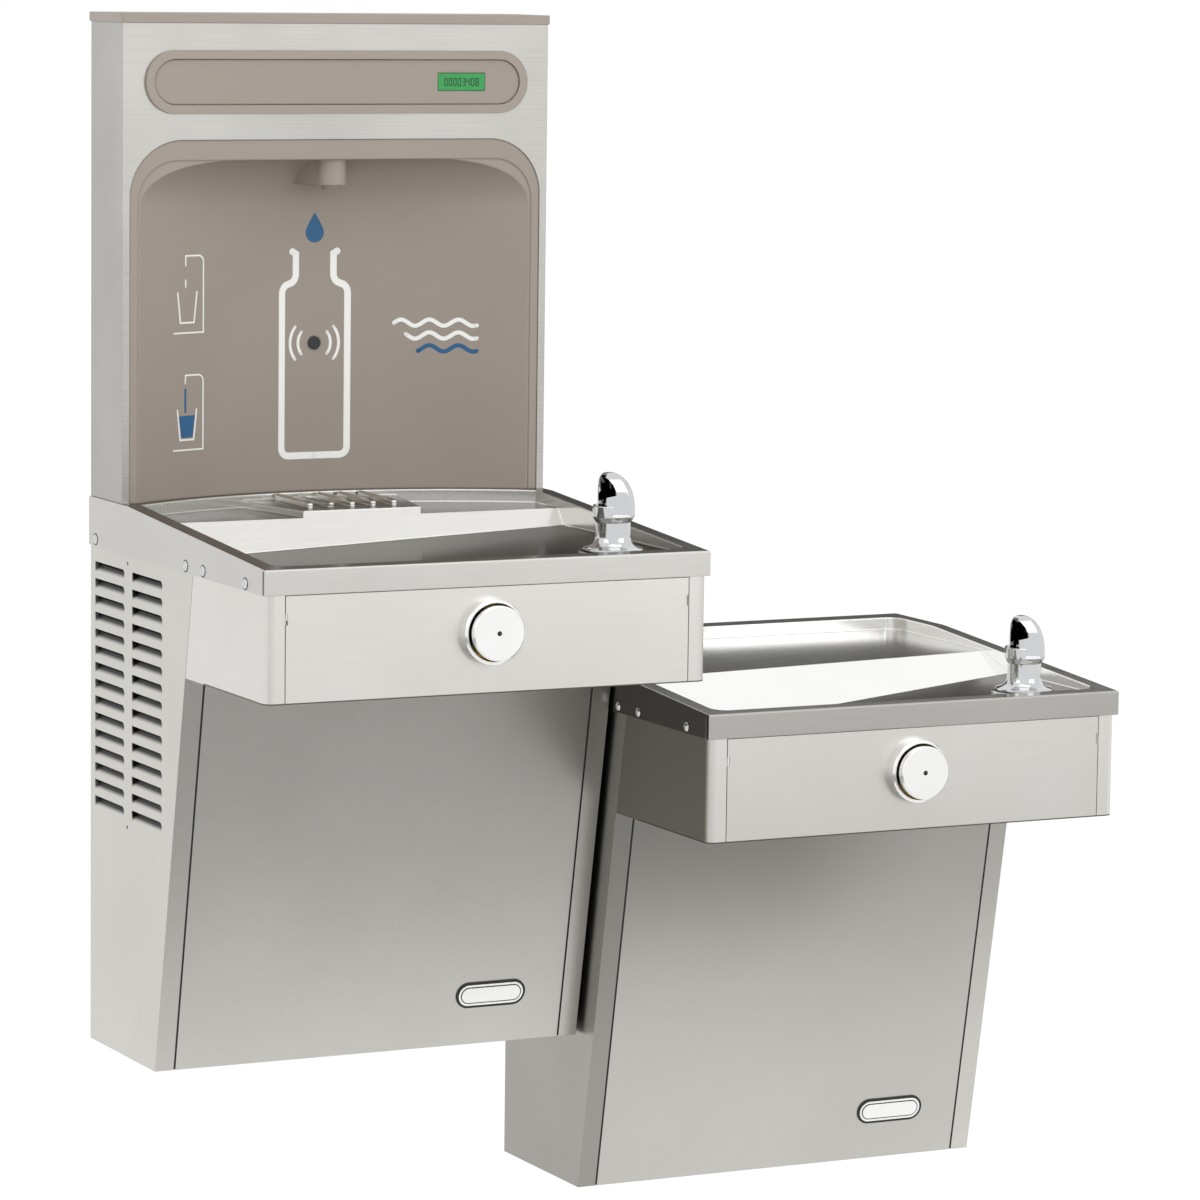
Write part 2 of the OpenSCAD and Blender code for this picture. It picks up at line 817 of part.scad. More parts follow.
module frame() {
    half = side_x - sheet;
    hook_top = hanger_z + hanger_rise + hanger_t;
    front_plate(frame_y, frame_t) difference() {
        translate([-half, sheet]) square([2 * half, hook_top + frame_top_h - sheet]);
        translate([-half + frame_bar, frame_bar])
            square([2 * (half - frame_bar), hook_top + close - frame_bar]);
    }
    for (s = [-1, 1])
        block([s * (half - frame_t / 2) - frame_t / 2, frame_y - frame_side_flange, sheet],
            [s * (half - frame_t / 2) + frame_t / 2, frame_y, hook_top]);
}

module hanger() {
    top = hanger_z + hanger_rise;
    difference() {
        union() {
            block([-hanger_half, -hanger_t, hanger_z - hanger_rise], [hanger_half, 0, top]);
            block([-hanger_half, -2 * hanger_t - frame_t - close, top],
                [hanger_half, 0, top + hanger_t]);
            block([-hanger_half, -2 * hanger_t - frame_t - close, top],
                [hanger_half, -hanger_t - frame_t - close, top + hanger_t + hook_h]);
        }
        for (x = [-bolt_span_x / 2, bolt_span_x / 2], z = [-bolt_span_z / 2, bolt_span_z / 2])
            bar_y(x, over, hanger_z + z, bolt_r, hanger_t + 2 * over);
    }
}

module upper_frame() { color(galvanised) upper() frame(); }
module lower_frame() { color(galvanised) lower() frame(); }
module upper_hanger() { color(galvanised) upper() hanger(); }
module lower_hanger() { color(galvanised) lower() hanger(); }

// Ring round the button, seated on the access panel
ring_wall = 3;
ring_chamfer = 1.5;

module button_ring() {
    translate([0, apron_y, button_z]) rotate([90, 0, 0]) difference() {
        union() {
            cylinder(r = ring_r, h = ring_out - ring_chamfer);
            translate([0, 0, ring_out - ring_chamfer])
                cylinder(r1 = ring_r, r2 = ring_r - ring_chamfer, h = ring_chamfer);
        }
        translate([0, 0, -over]) cylinder(r = ring_r - ring_wall, h = ring_out + 2 * over);
    }
}

module upper_button_ring() { color(chrome) upper() button_ring(); }
module lower_button_ring() { color(chrome) lower() button_ring(); }

// Button: round cap with a dimple, on a stem that runs in the valve
stop_gap = 1;
button_t = button_out - button_travel - stop_gap;
button_edge = 1;
dimple_r = 2.4;
dimple_d = 3;
stem_l = 46;

module button() {
    translate([0, apron_y - button_out, button_z]) rotate([-90, 0, 0]) {
        difference() {
            union() {
                cylinder(r1 = button_r - button_edge, r2 = button_r, h = button_edge);
                translate([0, 0, button_edge]) cylinder(r = button_r, h = button_t - button_edge);
            }
            translate([0, 0, -over]) cylinder(r = dimple_r, h = dimple_d + over);
        }
        translate([0, 0, button_t]) cylinder(r = stem_r, h = stem_l);
    }
}

module upper_button() { color(chrome) upper() button(); }
module lower_button() { color(chrome) lower() button(); }

// Valve: a cup behind the panel that the stem runs into, with two hose barbs
cup_wall = 2;
cup_r = ring_r - ring_wall + cup_wall;
cup_flange_t = 3;
cup_flange_r = cup_r + cup_flange_t;
cup_d = 24;
valve_r = 15;
valve_l = 44;
barb_r = 5;
barb_l = 14;

module valve() {
    face = apron_y + sheet;
    translate([0, face, button_z]) rotate([-90, 0, 0]) difference() {
        union() {
            cylinder(r = cup_flange_r, h = cup_flange_t);
            cylinder(r = cup_r, h = cup_d);
            translate([0, 0, cup_d]) cylinder(r = valve_r, h = valve_l);
        }
        translate([0, 0, -over]) cylinder(r = cup_r - cup_wall, h = cup_d - cup_wall + over);
        translate([0, 0, cup_d - cup_wall - over])
            cylinder(r = stem_r + running, h = valve_l - cup_wall);
    }
    barb_y = face + cup_d + valve_l - valve_r;
    translate([valve_r - over, barb_y, button_z]) rotate([0, 90, 0]) cylinder(r = barb_r, h = barb_l);
    translate([over - valve_r, barb_y, button_z]) rotate([0, -90, 0]) cylinder(r = barb_r, h = barb_l);
}

module upper_valve() { color(brass) upper() valve(); }
module lower_valve() { color(brass) lower() valve(); }

// Return spring round the stem, between the cup's floor and the cap
spring_wire = 0.9;
spring_r = 9;
spring_turns = 8;
spring_seat_y = apron_y + sheet + cup_d - cup_wall;
spring_l = spring_seat_y - apron_y + button_out - button_t;

module button_spring() {
    translate([0, spring_seat_y - close - spring_wire, button_z]) rotate([90, 0, 0])
        coil(spring_r, spring_l - 2 * (close + spring_wire), spring_turns, spring_wire);
}

module upper_button_spring() { color(steel_dark) upper() button_spring(); }
module lower_button_spring() { color(steel_dark) lower() button_spring(); }

echo(button_spring_gap = coil_gap(spring_r, spring_l - 2 * (close + spring_wire),
    spring_turns, spring_wire));

// Domed screws through the skirts, on both sides of both units
screw_head_r = 5.2;
screw_head_h = 2.4;
screw_dome_r = (screw_head_r * screw_head_r + screw_head_h * screw_head_h) / (2 * screw_head_h);
screw_l = 9;

module skirt_screw(s, y) {
    translate([s * unit_w / 2, -y, skirt_low + screw_rise]) rotate([0, s * 90, 0]) {
        intersection() {
            cylinder(r = screw_head_r, h = screw_head_h);
            translate([0, 0, screw_head_h - screw_dome_r]) sphere(screw_dome_r);
        }
        translate([0, 0, -screw_l]) cylinder(r = skirt_screw_r - running, h = screw_l, $fn = 32);
    }
}

module skirt_screws() {
    color(chrome)
        for (s = [-1, 1], y = screw_places) {
            upper() skirt_screw(s, y);
            lower() skirt_screw(s, y);
        }
}

// Filler wrapper: front, sides and head, open for the alcove and the display
filler_low = rim_back_h;
filler_top = filler_low + filler_h;
filler_half = filler_w / 2;
bezel_z = filler_top - bezel_drop;

module stadium(w, h) {
    square([w - h, h], center = true);
    for (s = [-1, 1]) translate([s * (w - h) / 2, 0]) circle(h / 2);
}

// Alcove opening seen from the front, drawn in by side and top
module arch(side, top) {
    half = alcove_half - side;
    r = alcove_r - (side + top) / 2;
    high = filler_low + alcove_h - top;
    translate([-half, filler_low]) square([2 * half, high - filler_low - r]);
    translate([-half + r, filler_low]) square([2 * (half - r), high - filler_low]);
    for (s = [-1, 1]) translate([s * (half - r), high - r]) circle(r);
}

module filler_wrapper() {
    color(steel) upper() difference() {
        block([-filler_half, -filler_d, filler_low], [filler_half, 0, filler_top]);
        block([-filler_half + sheet, -filler_d + sheet, filler_low - over],
            [filler_half - sheet, over, filler_top - sheet]);
        front_plate(-filler_d + sheet + over, sheet + 2 * over) {
            arch(0, 0);
            translate([-alcove_half, filler_low - over]) square([2 * alcove_half, 2 * over]);
            translate([0, bezel_z]) stadium(bezel_w - 2 * bezel_ring, bezel_h - 2 * bezel_ring);
        }
    }
}

cap_r = 3;

module filler_cap() {
    color(taupe) upper() {
        translate([0, 0, filler_top]) linear_extrude(cap_t) {
            round_rect([-filler_half - cap_over, -filler_d - cap_over], [filler_half + cap_over, 0], cap_r);
            translate([-filler_half - cap_over, -cap_r]) square([filler_w + 2 * cap_over, cap_r]);
        }
    }
}

// Liner: outer or inner space of the recess, grown by g
module recess(g) {
    top = filler_low + alcove_h - lip_top + g;
    intersection() {
        translate([0, alcove_centre_y, filler_low - over]) rotate_extrude($fn = 180) {
            square([alcove_curve_r + g, top - filler_low + over - ceiling_r]);
            square([alcove_curve_r + g - ceiling_r, top - filler_low + over]);
            translate([alcove_curve_r + g - ceiling_r, top - filler_low + over - ceiling_r])
                circle(ceiling_r);
        }
        front_plate(over, filler_d + 2 * over) union() {
            arch(lip_side - g, lip_top - g);
            translate([-recess_half - g, filler_low - over]) square([2 * (recess_half + g), 2 * over]);
        }
    }
}

hood_r = 15;
hood_back_half = 27;
hood_drop = 26;
nozzle_y = 66;
nozzle_r = 9;
nozzle_bore_r = 4;
nozzle_out = 4;
nozzle_up = 12;
hood_low = filler_low + alcove_h - lip_top - hood_drop;

module hood_plan() {
    polygon([[-hood_r, -nozzle_y], [hood_r, -nozzle_y], [hood_back_half, -alcove_back + over],
        [-hood_back_half, -alcove_back + over]]);
    translate([0, -nozzle_y]) circle(hood_r);
}

sensor_h = 697;
sensor_r = 6.4;

module alcove_liner() {
    color(taupe) upper() difference() {
        union() {
            difference() {
                intersection() {
                    recess(liner_t);
                    block([-filler_half, -filler_d + sheet, filler_low],
                        [filler_half, 0, filler_top]);
                }
                recess(0);
            }
            difference() {
                front_plate(-filler_d + sheet + lip_t, lip_t) arch(close - lip_t, close - lip_t);
                recess(0);
            }
            front_plate(-filler_d + sheet, sheet / 2) difference() {
                arch(close, close);
                arch(lip_side, lip_top);
            }
            intersection() {
                recess(liner_t / 2);
                translate([0, 0, hood_low]) linear_extrude(filler_h) hood_plan();
                block([-filler_half, -filler_d + sheet, hood_low], [filler_half, 0, filler_top]);
            }
        }
        translate([0, -nozzle_y, hood_low - over]) cylinder(r = nozzle_r + running, h = alcove_h);
        bar_y(0, 0, sensor_h, sensor_r + running, filler_d / 2);
    }
}

module filler_nozzle() {
    color(taupe) upper() translate([0, -nozzle_y, hood_low - nozzle_out]) difference() {
        cylinder(r = nozzle_r, h = nozzle_out + hood_drop + liner_t + nozzle_up);
        translate([0, 0, -over])
            cylinder(r = nozzle_bore_r, h = nozzle_out + hood_drop + liner_t + nozzle_up / 2 + over);
    }
}

sensor_l = 14;

module sensor_lens() {
    color(black) upper()
        bar_y(0, -alcove_back + liner_t + sensor_l / 2, sensor_h, sensor_r, liner_t + sensor_l / 2 + sheet);
}

// Display: raised bezel ring, panel inside it and a window for the counter
bezel_out = 3;
display_t = 2.5;
display_drop = 1.5;
window_x = 132.5;
window_w = 52;
window_h = 18;

module display_bezel() {
    color(taupe) upper() front_plate(-filler_d, bezel_out)
        translate([0, bezel_z]) difference() {
            stadium(bezel_w, bezel_h);
            stadium(bezel_w - 2 * bezel_ring, bezel_h - 2 * bezel_ring);
        }
}

module display_panel() {
    color(taupe) upper() front_plate(-filler_d - bezel_out + display_drop + display_t, display_t)
        translate([0, bezel_z]) difference() {
            stadium(bezel_w - 2 * (bezel_ring + seam / 2), bezel_h - 2 * (bezel_ring + seam / 2));
            translate([window_x, 0]) square([window_w, window_h], center = true);
        }
}

window_t = 4;

module counter_window() {
    color("#27a050") upper() front_plate(-filler_d - bezel_out + display_drop + window_t, window_t)
        translate([window_x, bezel_z]) square([window_w - seam, window_h - seam], center = true);
}

// Back plate of the filler, flat on the wall, with its screw holes
back_plate_hole_r = 3;
back_plate_margin = 24;

module filler_back_plate() {
    color(galvanised) upper() front_plate(0, sheet) difference() {
        translate([-filler_half + sheet, filler_low]) square([filler_w - 2 * sheet, filler_h - sheet]);
        for (s = [-1, 1], z = [filler_low + back_plate_margin, filler_top - back_plate_margin])
            translate([s * (filler_half - back_plate_margin), z]) circle(back_plate_hole_r);
    }
}

// Solenoid valve on the back plate: body with ports, sprung plunger above its seat
solenoid_x = -60;
solenoid_y = 30;
solenoid_gap = 6;
solenoid_low = filler_low + alcove_h + solenoid_gap;
solenoid_base = [44, 34, 26];
solenoid_coil_r = 15;
solenoid_coil_h = 40;
plunger_r = 5;
plunger_l = 20;
plunger_seat = 4;
plunger_spring_wire = 0.6;
plunger_spring_r = 3.4;
plunger_spring_turns = 6;
plunger_roof = 4;
plunger_chamber = solenoid_coil_h - plunger_roof;

module solenoid_body() {
    color(black) upper() translate([solenoid_x, -solenoid_y, solenoid_low]) {
        difference() {
            union() {
                block([-solenoid_base[0] / 2, -solenoid_base[1] / 2, 0],
                    [solenoid_base[0] / 2, solenoid_base[1] / 2, solenoid_base[2]]);
                translate([0, 0, solenoid_base[2]]) cylinder(r = solenoid_coil_r, h = solenoid_coil_h);
            }
            translate([0, 0, solenoid_base[2] - plunger_seat])
                cylinder(r = plunger_r + running, h = plunger_seat + plunger_chamber);
        }
        block([-solenoid_base[0] / 2, solenoid_base[1] / 2 - over, 0],
            [solenoid_base[0] / 2, solenoid_y - sheet, 2 * sheet]);
        for (s = [-1, 1])
            translate([s * solenoid_base[0] / 2, 0, solenoid_base[2] / 2]) rotate([0, s * 90, 0])
                translate([0, 0, -over]) cylinder(r = barb_r, h = barb_l);
    }
}

module solenoid_plunger() {
    color(steel_dark) upper()
        translate([solenoid_x, -solenoid_y, solenoid_low + solenoid_base[2] - plunger_seat])
            cylinder(r = plunger_r, h = plunger_l);
}

plunger_spring_l = plunger_seat + plunger_chamber - plunger_l;

module solenoid_spring() {
    color(steel_dark) upper()
        translate([solenoid_x, -solenoid_y,
            solenoid_low + solenoid_base[2] - plunger_seat + plunger_l + close + plunger_spring_wire])
            coil(plunger_spring_r, plunger_spring_l - 2 * (close + plunger_spring_wire),
                plunger_spring_turns, plunger_spring_wire);
}

echo(solenoid_spring_gap = coil_gap(plunger_spring_r,
    plunger_spring_l - 2 * (close + plunger_spring_wire), plunger_spring_turns, plunger_spring_wire));

// Control board on stand-offs from the back plate
board_x = 90;
board_w = 130;
board_h = 76;
board_t = 1.6;
board_y = 22;
board_low = solenoid_low + solenoid_gap;
standoff_r = 3;
transformer = [38, 24, 34];
relay_share = 0.55;

module control_board() {
    color("#2f6b45") upper() translate([board_x, 0, board_low]) {
        block([-board_w / 2, -board_y - board_t, 0], [board_w / 2, -board_y, board_h]);
        for (s = [-1, 1], z = [2 * standoff_r, board_h - 2 * standoff_r])
            bar_y(s * (board_w / 2 - 2 * standoff_r), -sheet, z, standoff_r, board_y - sheet);
        face = -board_y - board_t;
        block([standoff_r - board_w / 2, face - transformer[1], board_h - transformer[2] - standoff_r],
            [standoff_r - board_w / 2 + transformer[0], face, board_h - standoff_r]);
        relay = relay_share * transformer;
        block([standoff_r, face - relay[1], standoff_r],
            [standoff_r + relay[0], face, standoff_r + relay[2]]);
    }
}

// Shelf across the upper cabinet, which carries the cooling parts
shelf_h = 60;
shelf_t = 2;
shelf_fold = 18;
shelf_front = front_y(shelf_h - shelf_fold) + front_fold + seam;
shelf_half = side_x - sheet - frame_t;
shelf_back = frame_y - frame_t;

module base_shelf() {
    color(galvanised) upper() difference() {
        union() {
            block([-shelf_half, shelf_front, shelf_h - shelf_t], [shelf_half, shelf_back, shelf_h]);
            block([-shelf_half, shelf_front, shelf_h - shelf_fold],
                [shelf_half, shelf_front + shelf_t, shelf_h]);
        }
        translate([-drain_x, -drain_back, shelf_h - shelf_fold - over])
            cylinder(r = drain_r + drain_flange_t, h = shelf_fold + 2 * over);
        translate([inlet_x, -inlet_y, shelf_h - shelf_fold - over])
            cylinder(r = supply_r + running, h = shelf_fold + 2 * over);
        translate([gland_x, -gland_y, shelf_h - shelf_fold - over])
            cylinder(r = gland_r + running, h = shelf_fold + 2 * over);
    }
}

// Compressor on four rubber grommets
compressor_x = 40;
cooling_y = 96;
grommet_r = 8;
grommet_h = 10;
grommet_reach = 52;
compressor_foot_t = 3;
compressor_low = shelf_h + grommet_h + compressor_foot_t;
dome_share = 1.3;
dome_r = dome_share * compressor_r;

module compressor() {
    color(black) upper() translate([compressor_x, -cooling_y, compressor_low]) {
        intersection() {
            cylinder(r = compressor_r, h = compressor_h);
            translate([0, 0, compressor_h - dome_r]) union() {
                sphere(dome_r);
                translate([0, 0, -dome_r]) cylinder(r = dome_r, h = dome_r);
            }
        }
        block([-grommet_reach - grommet_r, -grommet_reach - grommet_r, -compressor_foot_t],
            [grommet_reach + grommet_r, grommet_reach + grommet_r, 0]);
    }
}

module compressor_grommets() {
    color("#2b2b2b") upper()
        for (x = [-grommet_reach, grommet_reach], y = [-grommet_reach, grommet_reach])
            translate([compressor_x + x, y - cooling_y, shelf_h]) cylinder(r = grommet_r, h = grommet_h);
}

// Condenser behind the louvres: finned tubes between two end plates that stand on the shelf
condenser_side_d = 12.5;
condenser_t = 38;
condenser_x0 = condenser_side_d - side_x;
condenser_x1 = condenser_x0 + condenser_t;
condenser_y0 = -170;
condenser_y1 = -76;
fan_hole_play = 2;
condenser_low = 250;
condenser_top = 420;
fin_count = 13;
fin_t = 0.8;
fin_margin = 4;
coil_tube_r = 4;
coil_rows = 6;

module condenser() {
    color("#8d9092") upper() {
        difference() {
            union() {
                for (y = [condenser_y0, condenser_y1 - sheet])
                    block([condenser_x0, y, shelf_h], [condenser_x1, y + sheet, condenser_top]);
                block([condenser_x1 - sheet, condenser_y0, condenser_low - fin_margin],
                    [condenser_x1, condenser_y1, condenser_top]);
            }
            translate([condenser_x1, fan_y, fan_z]) rotate([0, 90, 0])
                cylinder(r = fan_r + fan_hole_play, h = 2 * sheet + over, center = true);
        }
        step = (condenser_y1 - condenser_y0) / (fin_count + 1);
        for (i = [1 : fin_count])
            block([condenser_x0 + fin_margin, condenser_y0 + i * step, condenser_low],
                [condenser_x1 - fin_margin, condenser_y0 + i * step + fin_t, condenser_top - fin_margin]);
        for (i = [0 : coil_rows - 1])
            bar_y(condenser_mid_x, condenser_y1, condenser_low + (i + 1 / 2) * condenser_step,
                coil_tube_r, condenser_y1 - condenser_y0);
    }
}

// Fan: motor on three arms from the condenser's plate, blades on its shaft
fan_y = (condenser_y0 + condenser_y1) / 2;
fan_z = (condenser_low + condenser_top) / 2;
fan_out = 12;
fan_x = condenser_x1 + fan_out;
fan_depth = 14;
hub_r = 15;
shaft_r = 3;
motor_r = 26;
motor_l = 36;
motor_gap = 4;
motor_x = fan_x + fan_depth / 2 + motor_gap;
arm_r = 2;

module fan_motor() {
    color("#55585a") upper() difference() {
        union() {
            translate([motor_x, fan_y, fan_z]) rotate([0, 90, 0]) cylinder(r = motor_r, h = motor_l);
            for (z = [-1, 1]) {
                x = motor_x + motor_l / 2;
                arm_z = fan_z + z * (fan_r + 4 * arm_r);
                rod([x, fan_y, fan_z + z * (motor_r - arm_r)], [x, fan_y, arm_z], arm_r);
                rod([x, fan_y, arm_z], [condenser_x1, fan_y, arm_z], arm_r);
                translate([x, fan_y, arm_z]) sphere(arm_r, $fn = 24);
            }
        }
        translate([motor_x - over, fan_y, fan_z]) rotate([0, 90, 0])
            cylinder(r = shaft_r + running, h = motor_l / 2);
    }
}

blade_t = 1.6;
blade_turn = 28;
blade_w_share = 0.42;

module fan_blades() {
    color("#3a3d3f") upper() translate([fan_x, fan_y, fan_z]) rotate([0, 90, 0]) {
        translate([0, 0, -fan_depth / 2]) cylinder(r = hub_r, h = fan_depth);
        cylinder(r = shaft_r, h = fan_depth / 2 + motor_gap + motor_l / 3);
        for (i = [0 : blade_count - 1]) rotate([0, 0, 360 * i / blade_count])
            translate([hub_r - over, 0, 0]) rotate([blade_turn, 0, 0])
                translate([0, -blade_w_share * fan_r / 2, -blade_t / 2])
                    cube([fan_r - hub_r, blade_w_share * fan_r, blade_t]);
    }
}

// Chiller tank on the shelf
chiller_side_d = 67;
chiller_x = shelf_half - chiller_side_d;
chiller_cap = 8;

module chiller_tank() {
    color(white) upper() translate([chiller_x, -cooling_y, shelf_h]) {
        cylinder(r = chiller_r, h = chiller_h - chiller_cap);
        translate([0, 0, chiller_h - chiller_cap])
            cylinder(r = chiller_r - chiller_cap, h = chiller_cap);
    }
}

// Thermostat on the frame's right bar, with its dial towards the front
thermostat_side_d = 19;
thermostat_x = side_x - sheet - thermostat_side_d;
thermostat_h = 330;
thermostat_size = [26, 22, 44];
thermostat_face = frame_y - frame_t - thermostat_size[1];
dial_r = 9;
dial_t = 8;
dial_shaft_l = 10;
dial_mark = 1.5;

module thermostat_body() {
    color(white) upper() difference() {
        translate([thermostat_x - thermostat_size[0] / 2, thermostat_face,
            thermostat_h - thermostat_size[2] / 2]) cube(thermostat_size);
        bar_y(thermostat_x, thermostat_face + dial_shaft_l + over, thermostat_h,
            shaft_r + running, dial_shaft_l + 2 * over);
    }
}

module thermostat_dial() {
    face = thermostat_face;
    color(black) upper() difference() {
        union() {
            bar_y(thermostat_x, face - close, thermostat_h, dial_r, dial_t);
            bar_y(thermostat_x, face + dial_shaft_l, thermostat_h, shaft_r, dial_shaft_l + dial_t / 2);
        }
        front = face - close - dial_t;
        block([thermostat_x - dial_mark / 2, front - over, thermostat_h + dial_r / 3],
            [thermostat_x + dial_mark / 2, front + dial_mark, thermostat_h + dial_r + over]);
    }
}

// Filter: head on the frame's right bar, cartridge that turns a quarter in its socket
filter_side_d = 97;
filter_x = side_x - sheet - filter_side_d;
filter_y = 62;
filter_top = 440;
head_r = 30;
head_h = 34;
neck_r = 15;
neck_l = 18;
ear_t = 4;
ear_h = 30;
web_w = 24;

module filter_head() {
    ear_x = side_x - sheet - frame_t - close;
    color(white) upper() {
        difference() {
            translate([filter_x, -filter_y, filter_top]) cylinder(r = head_r, h = head_h);
            translate([filter_x, -filter_y, filter_top - over])
                cylinder(r = neck_r + running, h = neck_l + 2 * over);
        }
        block([filter_x - web_w / 2, frame_y - frame_t - ear_t, filter_top],
            [ear_x, frame_y - frame_t, filter_top + ear_h]);
        block([filter_x - web_w / 2, -filter_y + head_r / 2, filter_top + neck_l + 2 * over],
            [filter_x + web_w / 2, frame_y - frame_t, filter_top + ear_h]);
    }
}

module filter_cartridge() {
    color("#d8dde0") upper() translate([filter_x, -filter_y, filter_top - close - filter_l]) {
        cylinder(r = filter_r, h = filter_l - filter_r / 2);
        translate([0, 0, filter_l - filter_r / 2])
            cylinder(r1 = filter_r, r2 = head_r - head_h / 4, h = filter_r / 2);
        cylinder(r = neck_r, h = filter_l + close + neck_l);
    }
}

// Water inlet stub through the shelf, between its collar and its nut
inlet_x = -75;
inlet_y = 30;
inlet_low = 18;
inlet_up = 16;
inlet_nut_h = 8;
collar_out_r = 9;

module water_inlet() {
    color(brass) upper() translate([inlet_x, -inlet_y, 0]) {
        translate([0, 0, inlet_low]) cylinder(r = supply_r, h = shelf_h + inlet_up - inlet_low);
        translate([0, 0, shelf_h]) cylinder(r = collar_out_r, h = inlet_up / 2, $fn = 6);
        translate([0, 0, shelf_h - shelf_t - inlet_nut_h])
            cylinder(r = collar_out_r, h = inlet_nut_h, $fn = 6);
    }
}

// Gland for the mains lead in the shelf, without a lead
gland_x = -110;
gland_y = 100;
gland_r = 9;
gland_bore_r = 4;
gland_l = 16;
gland_head_r = 12;
gland_head_h = 5;

module power_inlet() {
    color(black) upper() translate([gland_x, -gland_y, shelf_h]) difference() {
        union() {
            translate([0, 0, -gland_l]) cylinder(r = gland_r, h = 2 * gland_l);
            cylinder(r = gland_head_r, h = gland_head_h, $fn = 6);
        }
        translate([0, 0, -gland_l - over]) cylinder(r = gland_bore_r, h = 2 * (gland_l + over));
    }
}

// Plastic water tubes, each from port to port
line_r = 4;
valve_port_x = valve_r - over + barb_l;
valve_port_y = apron_y + sheet + cup_d + valve_l - valve_r;
turn_reach = 14;
turn_x = valve_port_x + turn_reach;
filter_port_h = filter_top + head_h / 2;
tank_out_reach = 17;
tank_port_reach = 24;
tank_out_x = chiller_x + tank_out_reach;
tank_port_y = -cooling_y - tank_port_reach;
tank_top = shelf_h + chiller_h;
feed_h = 430;
feed_y = -150;
cross_h = button_z - unit_drop;
riser_x = -110;
solenoid_port_h = solenoid_low + solenoid_base[2] / 2;
solenoid_reach = solenoid_base[0] / 2 + barb_l - over;
nozzle_top = hood_low + hood_drop + liner_t + nozzle_up;

module bubbler_line() {
    run([[valve_port_x, valve_port_y, button_z], [bubbler_x, valve_port_y, button_z]], line_r);
    translate([bubbler_x, valve_port_y, button_z]) sphere(line_r, $fn = 24);
    rod([bubbler_x, valve_port_y, button_z], [bubbler_x, valve_port_y, shank_low], line_r);
}

module water_lines() {
    pitch = unit_w + unit_gap;
    drop = [0, 0, -unit_drop];
    color("#e9ecef") upper() {
        run([[inlet_x, -inlet_y, shelf_h + inlet_up], [inlet_x, -inlet_y, filter_port_h],
            [inlet_x, -filter_y, filter_port_h], [filter_x - head_r, -filter_y, filter_port_h]], line_r);
        run([[filter_x, -filter_y - head_r, filter_port_h], [filter_x, tank_port_y, filter_port_h],
            [filter_x, tank_port_y, tank_top]], line_r);
        run([[tank_out_x, tank_port_y, tank_top], [tank_out_x, tank_port_y, feed_h],
            [tank_out_x, feed_y, feed_h], [-turn_x, feed_y, feed_h], [-turn_x, valve_port_y, feed_h],
            [-turn_x, valve_port_y, button_z], [-valve_port_x, valve_port_y, button_z]], line_r);
        run([[-turn_x, feed_y, feed_h], [riser_x, feed_y, feed_h], [riser_x, -solenoid_y, feed_h],
            [riser_x, -solenoid_y, solenoid_port_h],
            [solenoid_x - solenoid_reach, -solenoid_y, solenoid_port_h]], line_r);
        run([[tank_out_x, tank_port_y, cross_h], [pitch - turn_x, tank_port_y, cross_h],
            [pitch - turn_x, valve_port_y, cross_h],
            [pitch - valve_port_x, valve_port_y, cross_h]], line_r);
        bubbler_line();
        translate([pitch, 0, 0] + drop) bubbler_line();
        run([[solenoid_x + solenoid_reach, -solenoid_y, solenoid_port_h],
            [0, -solenoid_y, solenoid_port_h], [0, -nozzle_y, solenoid_port_h],
            [0, -nozzle_y, nozzle_top]], line_r);
    }
}

// Copper lines between compressor, condenser and chiller, with a drier in the run
copper_r = 3;
drier_r = 9;
drier_l = 60;
drier_x = -55;
hot_h = 130;
hot_x = -100;
hot_y = -50;
header_y = -65;
liquid_h = 225;
suction_h = 150;
condenser_mid_x = (condenser_x0 + condenser_x1) / 2;
condenser_step = (condenser_top - condenser_low) / coil_rows;

module refrigerant_lines() {
    top = condenser_low + (coil_rows - 1 / 2) * condenser_step;
    low = condenser_low + condenser_step / 2;
    color(copper) upper() {
        run([[compressor_x - compressor_r, -cooling_y, hot_h], [hot_x, -cooling_y, hot_h],
            [hot_x, hot_y, hot_h], [hot_x, hot_y, top], [hot_x, header_y, top],
            [condenser_mid_x, header_y, top], [condenser_mid_x, condenser_y1, top]], copper_r);
        run([[condenser_mid_x, condenser_y1, low], [condenser_mid_x, header_y, low],
            [condenser_mid_x, header_y, liquid_h], [compressor_x + compressor_r, header_y, liquid_h],
            [compressor_x + compressor_r, -cooling_y, liquid_h],
            [chiller_x - chiller_r, -cooling_y, liquid_h]], copper_r);
        translate([drier_x - drier_l / 2, header_y, liquid_h]) rotate([0, 90, 0])
            cylinder(r = drier_r, h = drier_l);
        run([[compressor_x + compressor_r, -cooling_y, suction_h],
            [chiller_x - chiller_r, -cooling_y, suction_h]], copper_r);
    }
}

filler_wrapper();
filler_cap();
alcove_liner();
display_bezel();
display_panel();
counter_window();
sensor_lens();
filler_nozzle();
filler_back_plate();
solenoid_body();
solenoid_plunger();
solenoid_spring();
control_board();
upper_basin();
upper_bubbler();
upper_strainer();
upper_drain();
upper_apron();
upper_access_panel();
upper_left_panel();
upper_right_panel();
upper_front_panel();
upper_frame();
upper_hanger();
upper_button_ring();
upper_button();
upper_button_spring();
upper_valve();
lower_basin();
lower_bubbler();
lower_strainer();
lower_drain();
lower_apron();
lower_access_panel();
lower_left_panel();
lower_right_panel();
lower_front_panel();
lower_frame();
lower_hanger();
lower_button_ring();
lower_button();
lower_button_spring();
lower_valve();
skirt_screws();
bubbler_nuts();
base_shelf();
compressor();
compressor_grommets();
condenser();
fan_motor();
fan_blades();
chiller_tank();
thermostat_body();
thermostat_dial();
filter_head();
filter_cartridge();
water_lines();
refrigerant_lines();
water_inlet();
